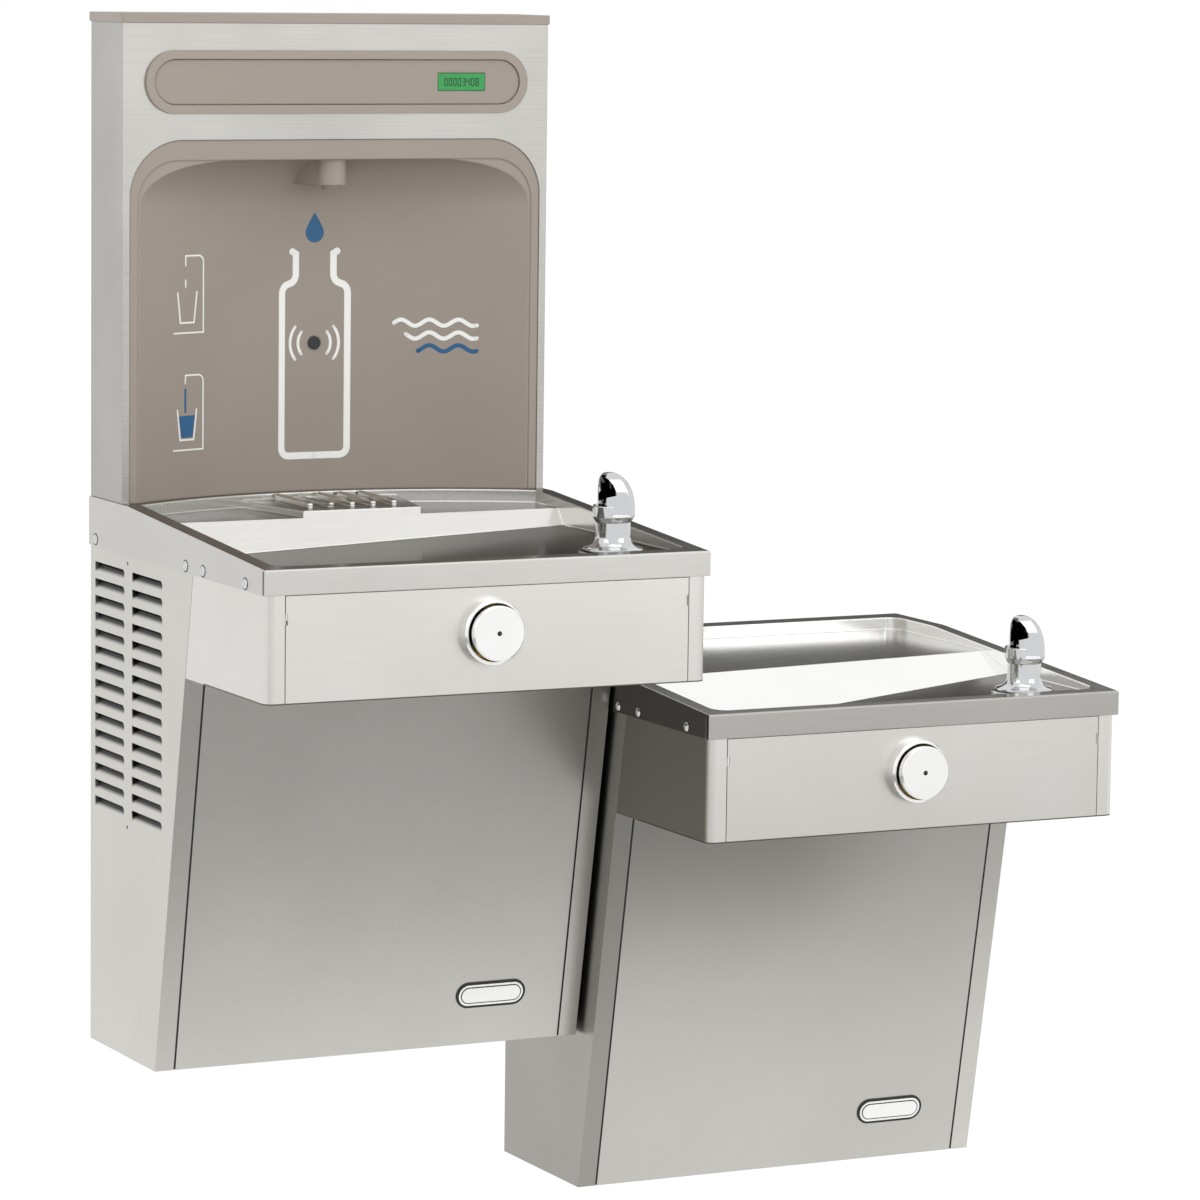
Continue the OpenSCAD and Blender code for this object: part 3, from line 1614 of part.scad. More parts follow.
power_inlet();
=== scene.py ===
import math
import bmesh
import bpy
from mathutils import Matrix, Vector


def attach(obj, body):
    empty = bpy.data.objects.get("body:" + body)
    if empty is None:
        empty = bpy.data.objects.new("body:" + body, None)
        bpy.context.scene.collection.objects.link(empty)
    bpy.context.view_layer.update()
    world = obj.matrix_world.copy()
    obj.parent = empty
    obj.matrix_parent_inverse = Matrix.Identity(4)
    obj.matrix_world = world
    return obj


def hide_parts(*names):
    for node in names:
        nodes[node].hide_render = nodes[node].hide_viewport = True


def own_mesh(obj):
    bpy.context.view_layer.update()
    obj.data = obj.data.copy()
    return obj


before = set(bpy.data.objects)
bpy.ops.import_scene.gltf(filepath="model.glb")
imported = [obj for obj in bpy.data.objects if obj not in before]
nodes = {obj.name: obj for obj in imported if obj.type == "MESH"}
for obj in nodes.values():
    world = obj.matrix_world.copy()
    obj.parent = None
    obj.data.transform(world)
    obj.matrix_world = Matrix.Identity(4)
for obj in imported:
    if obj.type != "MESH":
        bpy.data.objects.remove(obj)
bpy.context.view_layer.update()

MM = 0.001
# Each unit's middle at the wall and at its cabinet's foot, where its own sizes start
UNITS = {"upper_": Vector((0, 0, -0.470)), "lower_": Vector((0.462, 0, -0.629))}
UPPER = UNITS["upper_"]


def linear(code):
    """sRGB hex to the linear colour that the shaders take."""
    parts = [int(code[i:i + 2], 16) / 255 for i in (1, 3, 5)]
    return tuple(c / 12.92 if c <= 0.04045 else ((c + 0.055) / 1.055) ** 2.4 for c in parts) + (1,)


def metres(points):
    """Points in millimetres as points in metres."""
    return [tuple(value * MM for value in point) for point in points]


# Camera: far off to the left of the front and a little above, as in the photograph
PHOTO_PX, FOCAL_PX, SENSOR_WIDE = 1200, 5284, 36
CAMERA_AT = (-2.0935, -4.901, 0.633)
yaw, pitch, roll = (math.radians(angle) for angle in (26.38, 7.13, 0.74))
camera_data = bpy.data.cameras.new("camera")
camera_data.sensor_width = SENSOR_WIDE
camera_data.lens = SENSOR_WIDE * FOCAL_PX / PHOTO_PX
camera_data.clip_end = 2000
camera = bpy.data.objects.new("camera", camera_data)
bpy.context.scene.collection.objects.link(camera)
forward = Vector((math.sin(yaw) * math.cos(pitch), math.cos(yaw) * math.cos(pitch),
                  -math.sin(pitch)))
level = Vector((math.cos(yaw), -math.sin(yaw), 0))
upward = level.cross(forward)
right = level * math.cos(roll) + upward * math.sin(roll)
top = upward * math.cos(roll) - level * math.sin(roll)
turn = Matrix((right, top, -forward)).transposed().to_4x4()
camera.matrix_world = Matrix.Translation(CAMERA_AT) @ turn
bpy.context.scene.camera = camera
bpy.context.scene.view_settings.view_transform = "Standard"


# Materials
def add(tree, kind, links=None, **settings):
    """Adds one node, with its settings, and its inputs as values or as links."""
    made = tree.nodes.new(kind)
    for key, value in settings.items():
        setattr(made, key, value)
    for key, value in (links or {}).items():
        if isinstance(value, bpy.types.NodeSocket):
            tree.links.new(value, made.inputs[key])
        else:
            made.inputs[key].default_value = value
    return made


def blank(name):
    """A new material without nodes, and its tree."""
    made = bpy.data.materials.new(name)
    made.use_nodes = True
    made.node_tree.nodes.clear()
    return made, made.node_tree


def brushed(name, dark, pale, grain, rough, soften=0.9, shade=None, edge_on="#ffffff"):
    """304 stainless, No. 4 brushed: long fine scratches spread its reflections along the sheet.
    They are about 0.3 mm apart and are drawn 1 mm apart, so that they show. A shade is painted
    shade: a tone and the stretches of X, Y or Z over which it comes in; edge_on tones a grazing
    view."""
    scratch_long, scratch_wide, cloud_wide = 90 * MM, 1.0 * MM, 160 * MM
    made, tree = blank(name)
    place = add(tree, "ShaderNodeTexCoord").outputs["Object"]
    size = [1 / scratch_long if axis == grain else 1 / scratch_wide for axis in "XYZ"]
    scratch = add(tree, "ShaderNodeTexNoise", {
        "Vector": add(tree, "ShaderNodeMapping", {"Vector": place, "Scale": size}).outputs[0],
        "Scale": 1.0, "Detail": 3.0, "Roughness": 0.6}).outputs[0]
    cloud = add(tree, "ShaderNodeTexNoise",
                {"Vector": place, "Scale": 1 / cloud_wide, "Detail": 2.0}).outputs[0]
    mixed = add(tree, "ShaderNodeMath", {0: scratch, 1: cloud}, operation="ADD").outputs[0]
    share = add(tree, "ShaderNodeMapRange", {0: mixed, 1: 0.7, 2: 1.3}).outputs[0]
    edge = add(tree, "ShaderNodeBevel", {"Radius": soften * MM}, samples=4).outputs[0]
    relief = add(tree, "ShaderNodeBump", {"Height": scratch, "Normal": edge, "Strength": 0.12,
                                          "Distance": 0.06 * MM}).outputs[0]
    colour = add(tree, "ShaderNodeMix", {0: share, 6: linear(dark), 7: linear(pale)},
                 data_type="RGBA").outputs[2]
    # Painted shade: the shade's tone is blended in over its stretches
    if shade:
        tone, stretches = shade
        split = add(tree, "ShaderNodeSeparateXYZ", {0: place}).outputs
        share = 1.0
        for axis, start, end in stretches:
            along = add(tree, "ShaderNodeMapRange", {0: split[axis], 1: start, 2: end},
                        interpolation_type="SMOOTHSTEP").outputs[0]
            share = add(tree, "ShaderNodeMath", {0: share, 1: along},
                        operation="MULTIPLY").outputs[0]
        colour = add(tree, "ShaderNodeMix", {0: share, 6: colour, 7: linear(tone)},
                     data_type="RGBA").outputs[2]
    dull = add(tree, "ShaderNodeMapRange",
               {0: scratch, 3: rough - 0.05, 4: rough + 0.05}).outputs[0]
    steel = add(tree, "ShaderNodeBsdfPrincipled", {
        "Base Color": colour, "Metallic": 1.0, "Specular Tint": linear(edge_on),
        "Roughness": dull, "Normal": relief}).outputs[0]
    add(tree, "ShaderNodeOutputMaterial", {"Surface": steel})
    return made


def moulded(name, dark, pale, rough, soften=0.8, coat=0.0):
    """Injection-moulded plastic: an even colour with a faint spark-eroded grit and soft edges."""
    grit, cloud_wide = 0.9 * MM, 120 * MM
    made, tree = blank(name)
    place = add(tree, "ShaderNodeTexCoord").outputs["Object"]
    fine = add(tree, "ShaderNodeTexNoise",
               {"Vector": place, "Scale": 1 / grit, "Detail": 2.0}).outputs[0]
    broad = add(tree, "ShaderNodeTexNoise",
                {"Vector": place, "Scale": 1 / cloud_wide, "Detail": 1.0}).outputs[0]
    edge = add(tree, "ShaderNodeBevel", {"Radius": soften * MM}, samples=4).outputs[0]
    relief = add(tree, "ShaderNodeBump", {"Height": fine, "Normal": edge, "Strength": 0.15,
                                          "Distance": 0.05 * MM}).outputs[0]
    colour = add(tree, "ShaderNodeMix", {0: broad, 6: linear(dark), 7: linear(pale)},
                 data_type="RGBA").outputs[2]
    dull = add(tree, "ShaderNodeMapRange", {0: fine, 3: rough - 0.04, 4: rough + 0.04}).outputs[0]
    plastic = add(tree, "ShaderNodeBsdfPrincipled", {
        "Base Color": colour, "Roughness": dull, "IOR": 1.5, "Coat Weight": coat,
        "Coat Roughness": 0.1, "Normal": relief}).outputs[0]
    add(tree, "ShaderNodeOutputMaterial", {"Surface": plastic})
    return made


def plated(name, dark, pale, rough, soften=0.5):
    """Metal with a smooth finish, whose only marks are faint wiping haze 20 mm across."""
    haze_wide = 20 * MM
    made, tree = blank(name)
    place = add(tree, "ShaderNodeTexCoord").outputs["Object"]
    haze = add(tree, "ShaderNodeTexNoise",
               {"Vector": place, "Scale": 1 / haze_wide, "Detail": 3.0}).outputs[0]
    edge = add(tree, "ShaderNodeBevel", {"Radius": soften * MM}, samples=4).outputs[0]
    colour = add(tree, "ShaderNodeMix", {0: haze, 6: linear(dark), 7: linear(pale)},
                 data_type="RGBA").outputs[2]
    dull = add(tree, "ShaderNodeMapRange", {0: haze, 3: 0.7 * rough, 4: 1.3 * rough}).outputs[0]
    metal = add(tree, "ShaderNodeBsdfPrincipled", {
        "Base Color": colour, "Metallic": 1.0, "Roughness": dull, "Normal": edge}).outputs[0]
    add(tree, "ShaderNodeOutputMaterial", {"Surface": metal})
    return made


# Cabinets, aprons and filler: pale warm steel with soft streaks along its brushing
steel_across = brushed("stainless_brushed_across", "#d3d1cc", "#dbd9d5", "X", 0.32)
# Painted shade: the filler's copy of this steel is darker
steel_filler = brushed("stainless_brushed_filler", "#a5a39f", "#b8b6b2", "X", 0.36)
steel_upright = brushed("stainless_brushed_upright", "#cbc9c4", "#d3d1cc", "Z", 0.32)
# The basins' rims and skirts, bent from the bowls' sheet, a little duller. Painted shade: the
# lower unit's copy is darker
steel_rim = {
    "upper_": brushed("stainless_brushed_rim", "#c4c2be", "#cdcbc7", "X", 0.36, 0.8),
    "lower_": brushed("stainless_brushed_rim_low", "#aeaca8", "#b6b4b0", "X", 0.36, 0.8)}
# Painted shade: the louvres' blades are painted darker with depth, so that their slots show black
steel_louvred = brushed(
    "stainless_brushed_louvred", "#c7c5c0", "#cfcdc8", "Z", 0.32,
    shade=("#0a0a0a", [("X", -0.2281, -0.2253), ("Y", -0.200, -0.197), ("Z", -0.250, -0.245)]))
# Painted shade: the upper unit keeps light from the low unit's left side, and from its apron's
# left end, its skirt and the head of its front panel, so these copies of the steel are painted
# darker there
steel_low_side = brushed("stainless_brushed_low_side", "#9c9a95", "#a4a29d", "Z", 0.32)
steel_low_front = brushed(
    "stainless_brushed_low_front", "#c3c1bc", "#cbc9c4", "Z", 0.32,
    shade=("#a3a19c", [("Z", -0.44, -0.24), ("X", 0.62, 0.42)]))
steel_low_apron = brushed(
    "stainless_brushed_low_apron", "#d8d6d1", "#e0deda", "X", 0.32,
    shade=("#8b8880", [("X", 0.2368, 0.2338)]))
steel_low_skirt = brushed("stainless_brushed_low_skirt", "#55534e", "#5d5b56", "Y", 0.36)
# Drawn bowls, finer and glossier: their walls mirror the white studio. Painted light: the walls
# are also painted lighter than the bowls' level sheet, the lower unit's most
steel_bowl = {
    "upper_": brushed("stainless_satin_bowl", "#dddcd8", "#e4e3df", "X", 0.16, 2.4),
    "lower_": brushed("stainless_satin_bowl_low", "#f3f3f1", "#f8f8f6", "X", 0.16, 2.4)}
# Painted shade: the bowls' level sheet is painted dark, and darker where it is seen edge-on: the
# deck by the wall, the trough's floor, and most of all the upper bowl's left strip. The lower
# unit's copies are painted lighter
steel_deck = {
    "upper_": brushed("stainless_satin_deck", "#a6a4a0", "#b0aeaa", "X", 0.17, 2.4,
                      edge_on="#cccccc"),
    "lower_": brushed("stainless_satin_deck_low", "#c3c1bd", "#cdcbc7", "X", 0.17, 2.4,
                      edge_on="#f6f6f6")}
steel_floor = {
    "upper_": brushed("stainless_satin_floor", "#9c9a96", "#a6a4a0", "X", 0.17, 2.4,
                      edge_on="#939290"),
    "lower_": brushed("stainless_satin_floor_low", "#b0aeaa", "#bab8b4", "X", 0.17, 2.4,
                      edge_on="#bdbcba")}
steel_strip = brushed("stainless_satin_strip", "#757370", "#7d7b78", "Y", 0.2, 2.4,
                      edge_on="#4c4b4a")
# The dark line of shadow under the aprons' turned-in hems
hem_shadow = brushed("stainless_hem_shadow", "#5f5a53", "#6a655d", "X", 0.4)
# ABS in a warm grey-brown, moulded with a fine matt grit; the cap and the bezel are glossier
taupe = moulded("abs_taupe", "#91877e", "#998f85", 0.42, soften=2.5)
taupe_gloss = moulded("abs_taupe_cap", "#92887f", "#9a9086", 0.34)
# Decorative chrome on brass: near mirror on the bubblers, satin on the buttons
chrome = plated("chrome_polished", "#c4c5c7", "#d4d5d6", 0.05, 0.4)
chrome_satin = plated("chrome_satin", "#eeeeec", "#f6f6f4", 0.16, 0.7)
# Hidden metals: dull blue-grey zinc, plain plate, drawn wire, machined brass, drawn copper
zinc = plated("steel_galvanised", "#a3a7a9", "#b9bdbf", 0.42)
plate = plated("stainless_plate", "#b2b1ad", "#c1c0bc", 0.28)
spring_steel = plated("spring_steel", "#8f9092", "#a4a5a7", 0.25)
brass = plated("brass_machined", "#b89a52", "#c6a862", 0.28)
copper = plated("copper_drawn", "#b4714c", "#c5835c", 0.26)
# Painted shade: the condenser's fins are painted near black, for the shade inside the cabinet
# behind the louvres
fins = plated("condenser_fins_painted_shade", "#2c2d2f", "#3a3b3d", 0.45)
# Plastics, enamel and rubber of the machinery, and of the gaskets
black_abs = moulded("abs_black", "#17171a", "#202024", 0.45)
enamel = moulded("enamel_black", "#101012", "#18181b", 0.25, coat=0.5)
rubber = moulded("rubber_black", "#141414", "#1d1d1d", 0.75)
white_abs = moulded("abs_white", "#d9dad7", "#e4e5e2", 0.4)
tube = moulded("polyethylene_tube", "#d3dadd", "#e2e8ea", 0.3)
board = moulded("circuit_board_mask", "#1d5a33", "#26693d", 0.3)
# Dark glossy window over the sensor
lens = moulded("sensor_lens_dark", "#14161a", "#1c1f24", 0.12)
# Reflective liquid crystal over a green backlight
lcd = moulded("lcd_green", "#1c8a40", "#239749", 0.35)
# Screen-printing inks; the black one also paints the shade in the buttons' dimples
ink_pale = moulded("ink_white", "#e9e9e6", "#f2f2ef", 0.5)
ink_blue = moulded("ink_blue", "#175580", "#1c5f8c", 0.5)
ink_dark_and_shade = moulded("ink_black_and_shade", "#10140f", "#181c16", 0.5)

finish = {
    "filler_wrapper": steel_filler, "filler_cap": taupe_gloss, "alcove_liner": taupe,
    "display_bezel": taupe_gloss, "display_panel": taupe, "counter_window": lcd,
    "sensor_lens": lens, "filler_nozzle": taupe, "filler_back_plate": zinc,
    "solenoid_body": black_abs, "solenoid_plunger": spring_steel, "solenoid_spring": spring_steel,
    "control_board": board, "skirt_screws": chrome, "bubbler_nuts": brass, "base_shelf": zinc,
    "compressor": enamel, "compressor_grommets": rubber, "condenser": fins, "fan_motor": enamel,
    "fan_blades": black_abs, "chiller_tank": rubber, "thermostat_body": white_abs,
    "thermostat_dial": black_abs, "filter_head": white_abs, "filter_cartridge": white_abs,
    "water_lines": tube, "refrigerant_lines": copper, "water_inlet": brass,
    "power_inlet": black_abs,
}
for unit in UNITS:
    for part, look in {
            "basin": steel_across, "bubbler": chrome, "strainer": plate, "drain": brass,
            "apron": steel_across, "access_panel": steel_across, "left_panel": steel_upright,
            "right_panel": steel_upright, "front_panel": steel_upright, "frame": zinc,
            "hanger": zinc, "button_ring": chrome_satin, "button": chrome_satin,
            "button_spring": spring_steel, "valve": brass}.items():
        finish[unit + part] = look
finish.update({"upper_left_panel": steel_louvred, "lower_left_panel": steel_low_side,
               "lower_front_panel": steel_low_front, "lower_apron": steel_low_apron})
for name, look in finish.items():
    nodes[name].data.materials.clear()
    nodes[name].data.materials.append(look)


# Pieces
def piece(name, mesh, look, body, replaced=()):
    """Puts a finished bmesh into the scene, in its place, and lets it ride on a body."""
    data = bpy.data.meshes.new(name)
    mesh.to_mesh(data)
    mesh.free()
    data.materials.append(look)
    made = bpy.data.objects.new(name, data)
    bpy.context.scene.collection.objects.link(made)
    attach(made, body)
    if replaced:
        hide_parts(*replaced)
    return made


def smooth_by_angle(mesh, degrees):
    """Smooth shading, with the edges over an angle left sharp."""
    for face in mesh.faces:
        face.smooth = True
    for edge in mesh.edges:
        bend = edge.calc_face_angle(0)
        edge.smooth = len(edge.link_faces) == 2 and bend < math.radians(degrees)


def weighed(made):
    """Gives large faces flat shading beside small bends."""
    weigh = made.modifiers.new("weighed", "WEIGHTED_NORMAL")
    weigh.keep_sharp = True


def ringed(mesh, points):
    """A closed ring of new edges through points, in a mesh."""
    ring = [bmesh.ops.create_vert(mesh, co=point)["vert"][0] for point in points]
    return [mesh.edges.new((a, b)) for a, b in zip(ring, ring[1:] + ring[:1])]


def push(mesh, faces, way):
    """A solid of flat faces, pushed out along a way."""
    pushed = bmesh.ops.extrude_face_region(mesh, geom=faces)["geom"]
    bmesh.ops.translate(
        mesh, verts=[made for made in pushed if isinstance(made, bmesh.types.BMVert)], vec=way)
    bmesh.ops.recalc_face_normals(mesh, faces=mesh.faces)
    return mesh


def loft(rings):
    """A closed solid through rings of as many points."""
    mesh = bmesh.new()
    loops = [ringed(mesh, ring) for ring in rings]
    for a, b in zip(loops, loops[1:]):
        bmesh.ops.bridge_loops(mesh, edges=a + b)
    for end in (loops[0], loops[-1]):
        bmesh.ops.contextual_create(mesh, geom=end)
    bmesh.ops.recalc_face_normals(mesh, faces=mesh.faces)
    return mesh


def lathe(profile, segments, place=(0, 0, 0)):
    """A solid of revolution about an upright axis, from radius and height pairs."""
    mesh = bmesh.new()
    chain = [bmesh.ops.create_vert(mesh, co=(r, 0, z))["vert"][0] for r, z in profile]
    for a, b in zip(chain, chain[1:]):
        mesh.edges.new((a, b))
    bmesh.ops.spin(mesh, geom=mesh.verts[:] + mesh.edges[:], cent=(0, 0, 0), axis=(0, 0, 1),
                   angle=math.tau, steps=segments, use_merge=True)
    bmesh.ops.remove_doubles(mesh, verts=mesh.verts, dist=1e-6)
    bmesh.ops.recalc_face_normals(mesh, faces=mesh.faces)
    bmesh.ops.translate(mesh, verts=mesh.verts, vec=place)
    return mesh


def prism(outline, low, high, place=(0, 0, 0), upright=False):
    """An outline pushed out along Z, or along Y when it is drawn in X and Z."""
    mesh = bmesh.new()
    ringed(mesh, [(a, low, b) if upright else (a, b, low) for a, b in outline])
    face = bmesh.ops.contextual_create(mesh, geom=mesh.edges[:])["faces"]
    push(mesh, face, (0, high - low, 0) if upright else (0, 0, high - low))
    bmesh.ops.translate(mesh, verts=mesh.verts, vec=place)
    return mesh


def box_outline(left, low, right, high):
    """The corners of an upright rectangle, counter-clockwise."""
    return [(left, low), (right, low), (right, high), (left, high)]


def arc(centre, radius, start, end, steps):
    """Points on an arc, angles in degrees."""
    turns = [math.radians(start + (end - start) * i / steps) for i in range(steps + 1)]
    return [(centre[0] + radius * math.cos(t), centre[1] + radius * math.sin(t)) for t in turns]


def rotate(mesh, degrees, axis):
    """Turns a mesh about an axis through the origin."""
    bmesh.ops.rotate(mesh, verts=mesh.verts, cent=(0, 0, 0),
                     matrix=Matrix.Rotation(math.radians(degrees), 3, axis))


def join(*parts):
    """One bmesh of several."""
    whole = bmesh.new()
    for part in parts:
        data = bpy.data.meshes.new("join")
        part.to_mesh(data)
        part.free()
        whole.from_mesh(data)
        bpy.data.meshes.remove(data)
    return whole


def carve(body, tool):
    """A body cut by a tool, both as bmeshes."""
    pair = []
    for part in (body, tool):
        data = bpy.data.meshes.new("carve")
        part.to_mesh(data)
        part.free()
        pair.append(bpy.data.objects.new("carve", data))
        bpy.context.scene.collection.objects.link(pair[-1])
    cut = pair[0].modifiers.new("cut", "BOOLEAN")
    cut.object, cut.operation, cut.solver = pair[1], "DIFFERENCE", "EXACT"
    graph = bpy.context.evaluated_depsgraph_get()
    graph.update()
    result = bmesh.new()
    result.from_object(pair[0], graph)
    for made in pair:
        data = made.data
        bpy.data.objects.remove(made)
        bpy.data.meshes.remove(data)
    return result


# The basins: edges of bowl, rim and trough, in metres from a unit's middle and foot
BOWL_HALF, BOWL_FRONT, BOWL_FOOT = 0.2149, -0.4365, 0.497
RIM_HALF, RIM_FRONT, RIM_FOOT = 0.2298, -0.4515, 0.520
SKIRT_HALF, DECK_FOOT = 0.23, 0.522
TROUGH_REAR = (-0.1502, -0.1480)
TROUGH_HEAD = 0.5235
BEND_RADIUS, WALL_LEAN = 2.6 * MM, 12 * MM
# The least rise of a level face's normal, and the places of a basin's looks after its rim's
LEVEL, NEARLY_LEVEL = 0.97, 0.9
WALLS, DECK, FLOOR, SKIRT, STRIP = 1, 2, 3, 4, 5


def pressed_basin(prefix, place):
    """The CAD basin with the bend radii of pressed sheet, and its walls and floors told apart, so
    that they take the lighter and darker steels of painted light and shade.
    """
    mesh = bmesh.new()
    mesh.from_mesh(nodes[prefix + "basin"].data)
    bmesh.ops.remove_doubles(mesh, verts=mesh.verts, dist=2e-6)
    bmesh.ops.dissolve_limit(mesh, angle_limit=math.radians(0.5), verts=mesh.verts,
                             edges=mesh.edges)

    def on_rim(edge):
        if len(edge.link_faces) != 2 or edge.calc_face_angle(0) < math.radians(20):
            return False
        a, b = (v.co - place for v in edge.verts)
        if min(a.z, b.z) < RIM_FOOT or edge.calc_length() < 0.4 * MM:
            return False
        return all(abs(p.x) > RIM_HALF or p.y < RIM_FRONT for p in (a, b))

    bmesh.ops.bevel(mesh, geom=[e for e in mesh.edges if on_rim(e)], affect="EDGES",
                    offset=BEND_RADIUS, offset_type="OFFSET", segments=4, profile=0.5, material=-1,
                    clamp_overlap=True)
    if prefix == "upper_":
        # The drawn rear wall of the trough leans back, its foot in front of its head
        for vert in mesh.verts:
            at = vert.co - place
            if (abs(at.x) < BOWL_HALF and BOWL_FOOT < at.z < TROUGH_HEAD
                    and TROUGH_REAR[0] < at.y < TROUGH_REAR[1]):
                vert.co.y -= WALL_LEAN
    smooth_by_angle(mesh, 14)
    # Painted light and shade: walls take the lighter steel; level sheet, the upper bowl's left
    # strip and the lower basin's left skirt take darker ones
    for face in mesh.faces:
        middle = face.calc_center_median() - place
        if abs(middle.x) < BOWL_HALF and BOWL_FRONT < middle.y and middle.z > BOWL_FOOT:
            level_sheet = FLOOR if middle.z < DECK_FOOT else DECK
            face.material_index = WALLS if face.normal.z < LEVEL else level_sheet
        elif middle.x < -BOWL_HALF and face.normal.z > NEARLY_LEVEL:
            face.material_index = STRIP if prefix == "upper_" else FLOOR
        elif middle.x < -SKIRT_HALF and prefix == "lower_":
            face.material_index = SKIRT
    made = piece(prefix + "basin_pressed", mesh, steel_rim[prefix], "housing",
                 (prefix + "basin",))
    for look in (steel_bowl[prefix], steel_deck[prefix], steel_floor[prefix], steel_low_skirt,
                 steel_strip):
        made.data.materials.append(look)
    weighed(made)


for unit, place in UNITS.items():
    pressed_basin(unit, place)


# The bubblers: their place on a basin, and in millimetres their collar, cup and hood
BUBBLER_AT = Vector((0.155, -0.394, 0.521))
COLLAR, CUP_FLOOR, HOOD_SKIN = 33, 35, 1.7


def hood_section(z, skin=0.0, left=None):
    """A bubbler's hood in plan, z above its collar: straight cheeks and a round back."""
    reach = 21.6 if z < 8 else -6 + 27.4 * math.sqrt(1 - ((z - 8) / 35) ** 2)
    mouth = -12 if z < 35 else -6 - 6 * math.sqrt(1 - ((z - 35) / 8) ** 2)
    half = 10 if z < 22 else 10 * math.sqrt(1 - ((z - 22) / 22.5) ** 2)
    half = min(half, 0.55 * (reach - mouth) + 0.3) - skin
    reach, mouth = reach - skin, mouth if left is None else left
    curve = arc((reach - half, 0), half, -90, 90, 16)
    return metres([(x, y, z + COLLAR) for x, y in [(mouth, -half)] + curve + [(mouth, half)]])


def cast_bubbler(prefix, place):
    """Chrome bubbler: flared foot, stem, cup, and a narrow hood, open to the bowl's middle."""
    foot = [(0, 0), (27, 0), (28.6, 0.4), (29, 1.4), (28.4, 2.6), (26.6, 3.3), (23, 4.2),
            (20.2, 5.8), (18.4, 8.2), (17.4, 11), (17, 14), (17, 27.5), (17.5, 28.6),
            (19.6, 32.2), (20, 33.2), (20, 43.2), (19.6, 43.8), (17.9, 43.8), (17.5, 43.2),
            (17.5, CUP_FLOOR), (0, CUP_FLOOR)]
    body = lathe(metres(foot), 72)
    # The cup is open at its front only
    body = carve(body, prism(metres(box_outline(-9, -30, 30, 30)), 34 * MM, 60 * MM))
    steps = [0, 6, 10, 14, 18, 22, 25, 28, 31, 33.5, 35.5, 37.3, 38.9, 40.2, 41.3, 42.1, 42.6]
    hood = loft([hood_section(z) for z in steps])
    hollow = loft([hood_section(z, HOOD_SKIN, -30) for z in steps[1:-3]])
    floor_low = min(v.co.z for v in hollow.verts)
    for vert in hollow.verts:
        if vert.co.z < floor_low + 1e-6:
            vert.co.z = CUP_FLOOR * MM
    hood = carve(hood, hollow)
    mouth = [(-30, 52), (-12.6, 52), (-1.5, 53.6), (-2.2, 58), (-5, 64), (-9.5, 69.5), (-13, 72),
             (-30, 72)]
    hood = carve(hood, prism(metres(mouth), -30 * MM, -1 * MM, upright=True))
    jet = lathe(metres([(0, 34), (5, 34), (4.6, 46), (2.2, 47), (1.8, 42), (0, 42)]), 24,
                (-4.5 * MM, 0, 0))
    shank = lathe(metres([(0, -46), (9.2, -46), (9.5, -45.6), (9.5, 0.2), (0, 0.2)]), 32)
    mesh = join(body, hood, jet, shank)
    bmesh.ops.translate(mesh, verts=mesh.verts, vec=place + BUBBLER_AT)
    smooth_by_angle(mesh, 32)
    weighed(piece(prefix + "bubbler_cast", mesh, chrome, "housing",
                  (prefix + "bubbler",)))


for unit, place in UNITS.items():
    cast_bubbler(unit, place)


def wound(node):
    """A return spring: its CAD part copied, smooth-shaded and given a mesh of its own."""
    mesh = bmesh.new()
    mesh.from_mesh(nodes[node].data)
    bmesh.ops.remove_doubles(mesh, verts=mesh.verts, dist=2e-6)
    smooth_by_angle(mesh, 40)
    spring = piece(node + "_wound", mesh, spring_steel, "housing", (node,))
    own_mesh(spring)


wound("upper_button_spring")
wound("lower_button_spring")
wound("solenoid_spring")


# Prints: drawn flat in X and Z, in the upper unit's millimetres, as films of ink
FILM = 0.1


def inked(mesh, depth):
    """A flat print as a closed film, pushed out along Y by a depth in millimetres."""
    return push(mesh, mesh.faces[:], (0, depth * MM, 0))


def on_wall(mesh):
    """Bends a flat drawing onto the alcove's back wall, which is part of an upright cylinder."""
    wall_radius, wall_axis, clearance, longest = 410.4, -436.4, 0.02, 12 * MM
    bmesh.ops.triangulate(mesh, faces=mesh.faces)
    bmesh.ops.subdivide_edges(
        mesh, edges=[e for e in mesh.edges if e.calc_length() > longest], cuts=3,
        use_grid_fill=True)
    for vert in mesh.verts:
        x = vert.co.x / MM
        vert.co.y = (wall_axis + math.sqrt(wall_radius ** 2 - x * x) - clearance) * MM
    bmesh.ops.translate(mesh, verts=mesh.verts, vec=UPPER)
    return inked(mesh, -FILM)


def flat(outline):
    """A filled outline."""
    mesh = bmesh.new()
    ringed(mesh, metres([(x, 0, z) for x, z in outline]))
    bmesh.ops.contextual_create(mesh, geom=mesh.edges[:])
    return mesh


def stroke(points, width):
    """A line of even width along points, with round ends."""
    mesh = bmesh.new()
    half = width / 2
    pairs = []
    for i, point in enumerate(points):
        here = Vector(point)
        before = Vector(points[max(i - 1, 0)])
        after = Vector(points[min(i + 1, len(points) - 1)])
        sides = [d.normalized() for d in (here - before, after - here) if d.length > 1e-6]
        along = sum(sides, Vector((0, 0))).normalized()
        stretch = 1 / max(0.5, along.dot(sides[-1]))
        across = Vector((-along.y, along.x)) * half * stretch
        pairs.append([bmesh.ops.create_vert(mesh, co=(p.x * MM, 0, p.y * MM))["vert"][0]
                      for p in (here + across, here - across)])
    for (a, b), (c, d) in zip(pairs, pairs[1:]):
        bmesh.ops.contextual_create(mesh, geom=[a, b, d, c])
    for end in (points[0], points[-1]):
        mesh = join(mesh, flat(arc(end, half, 0, 345, 23)))
    return mesh


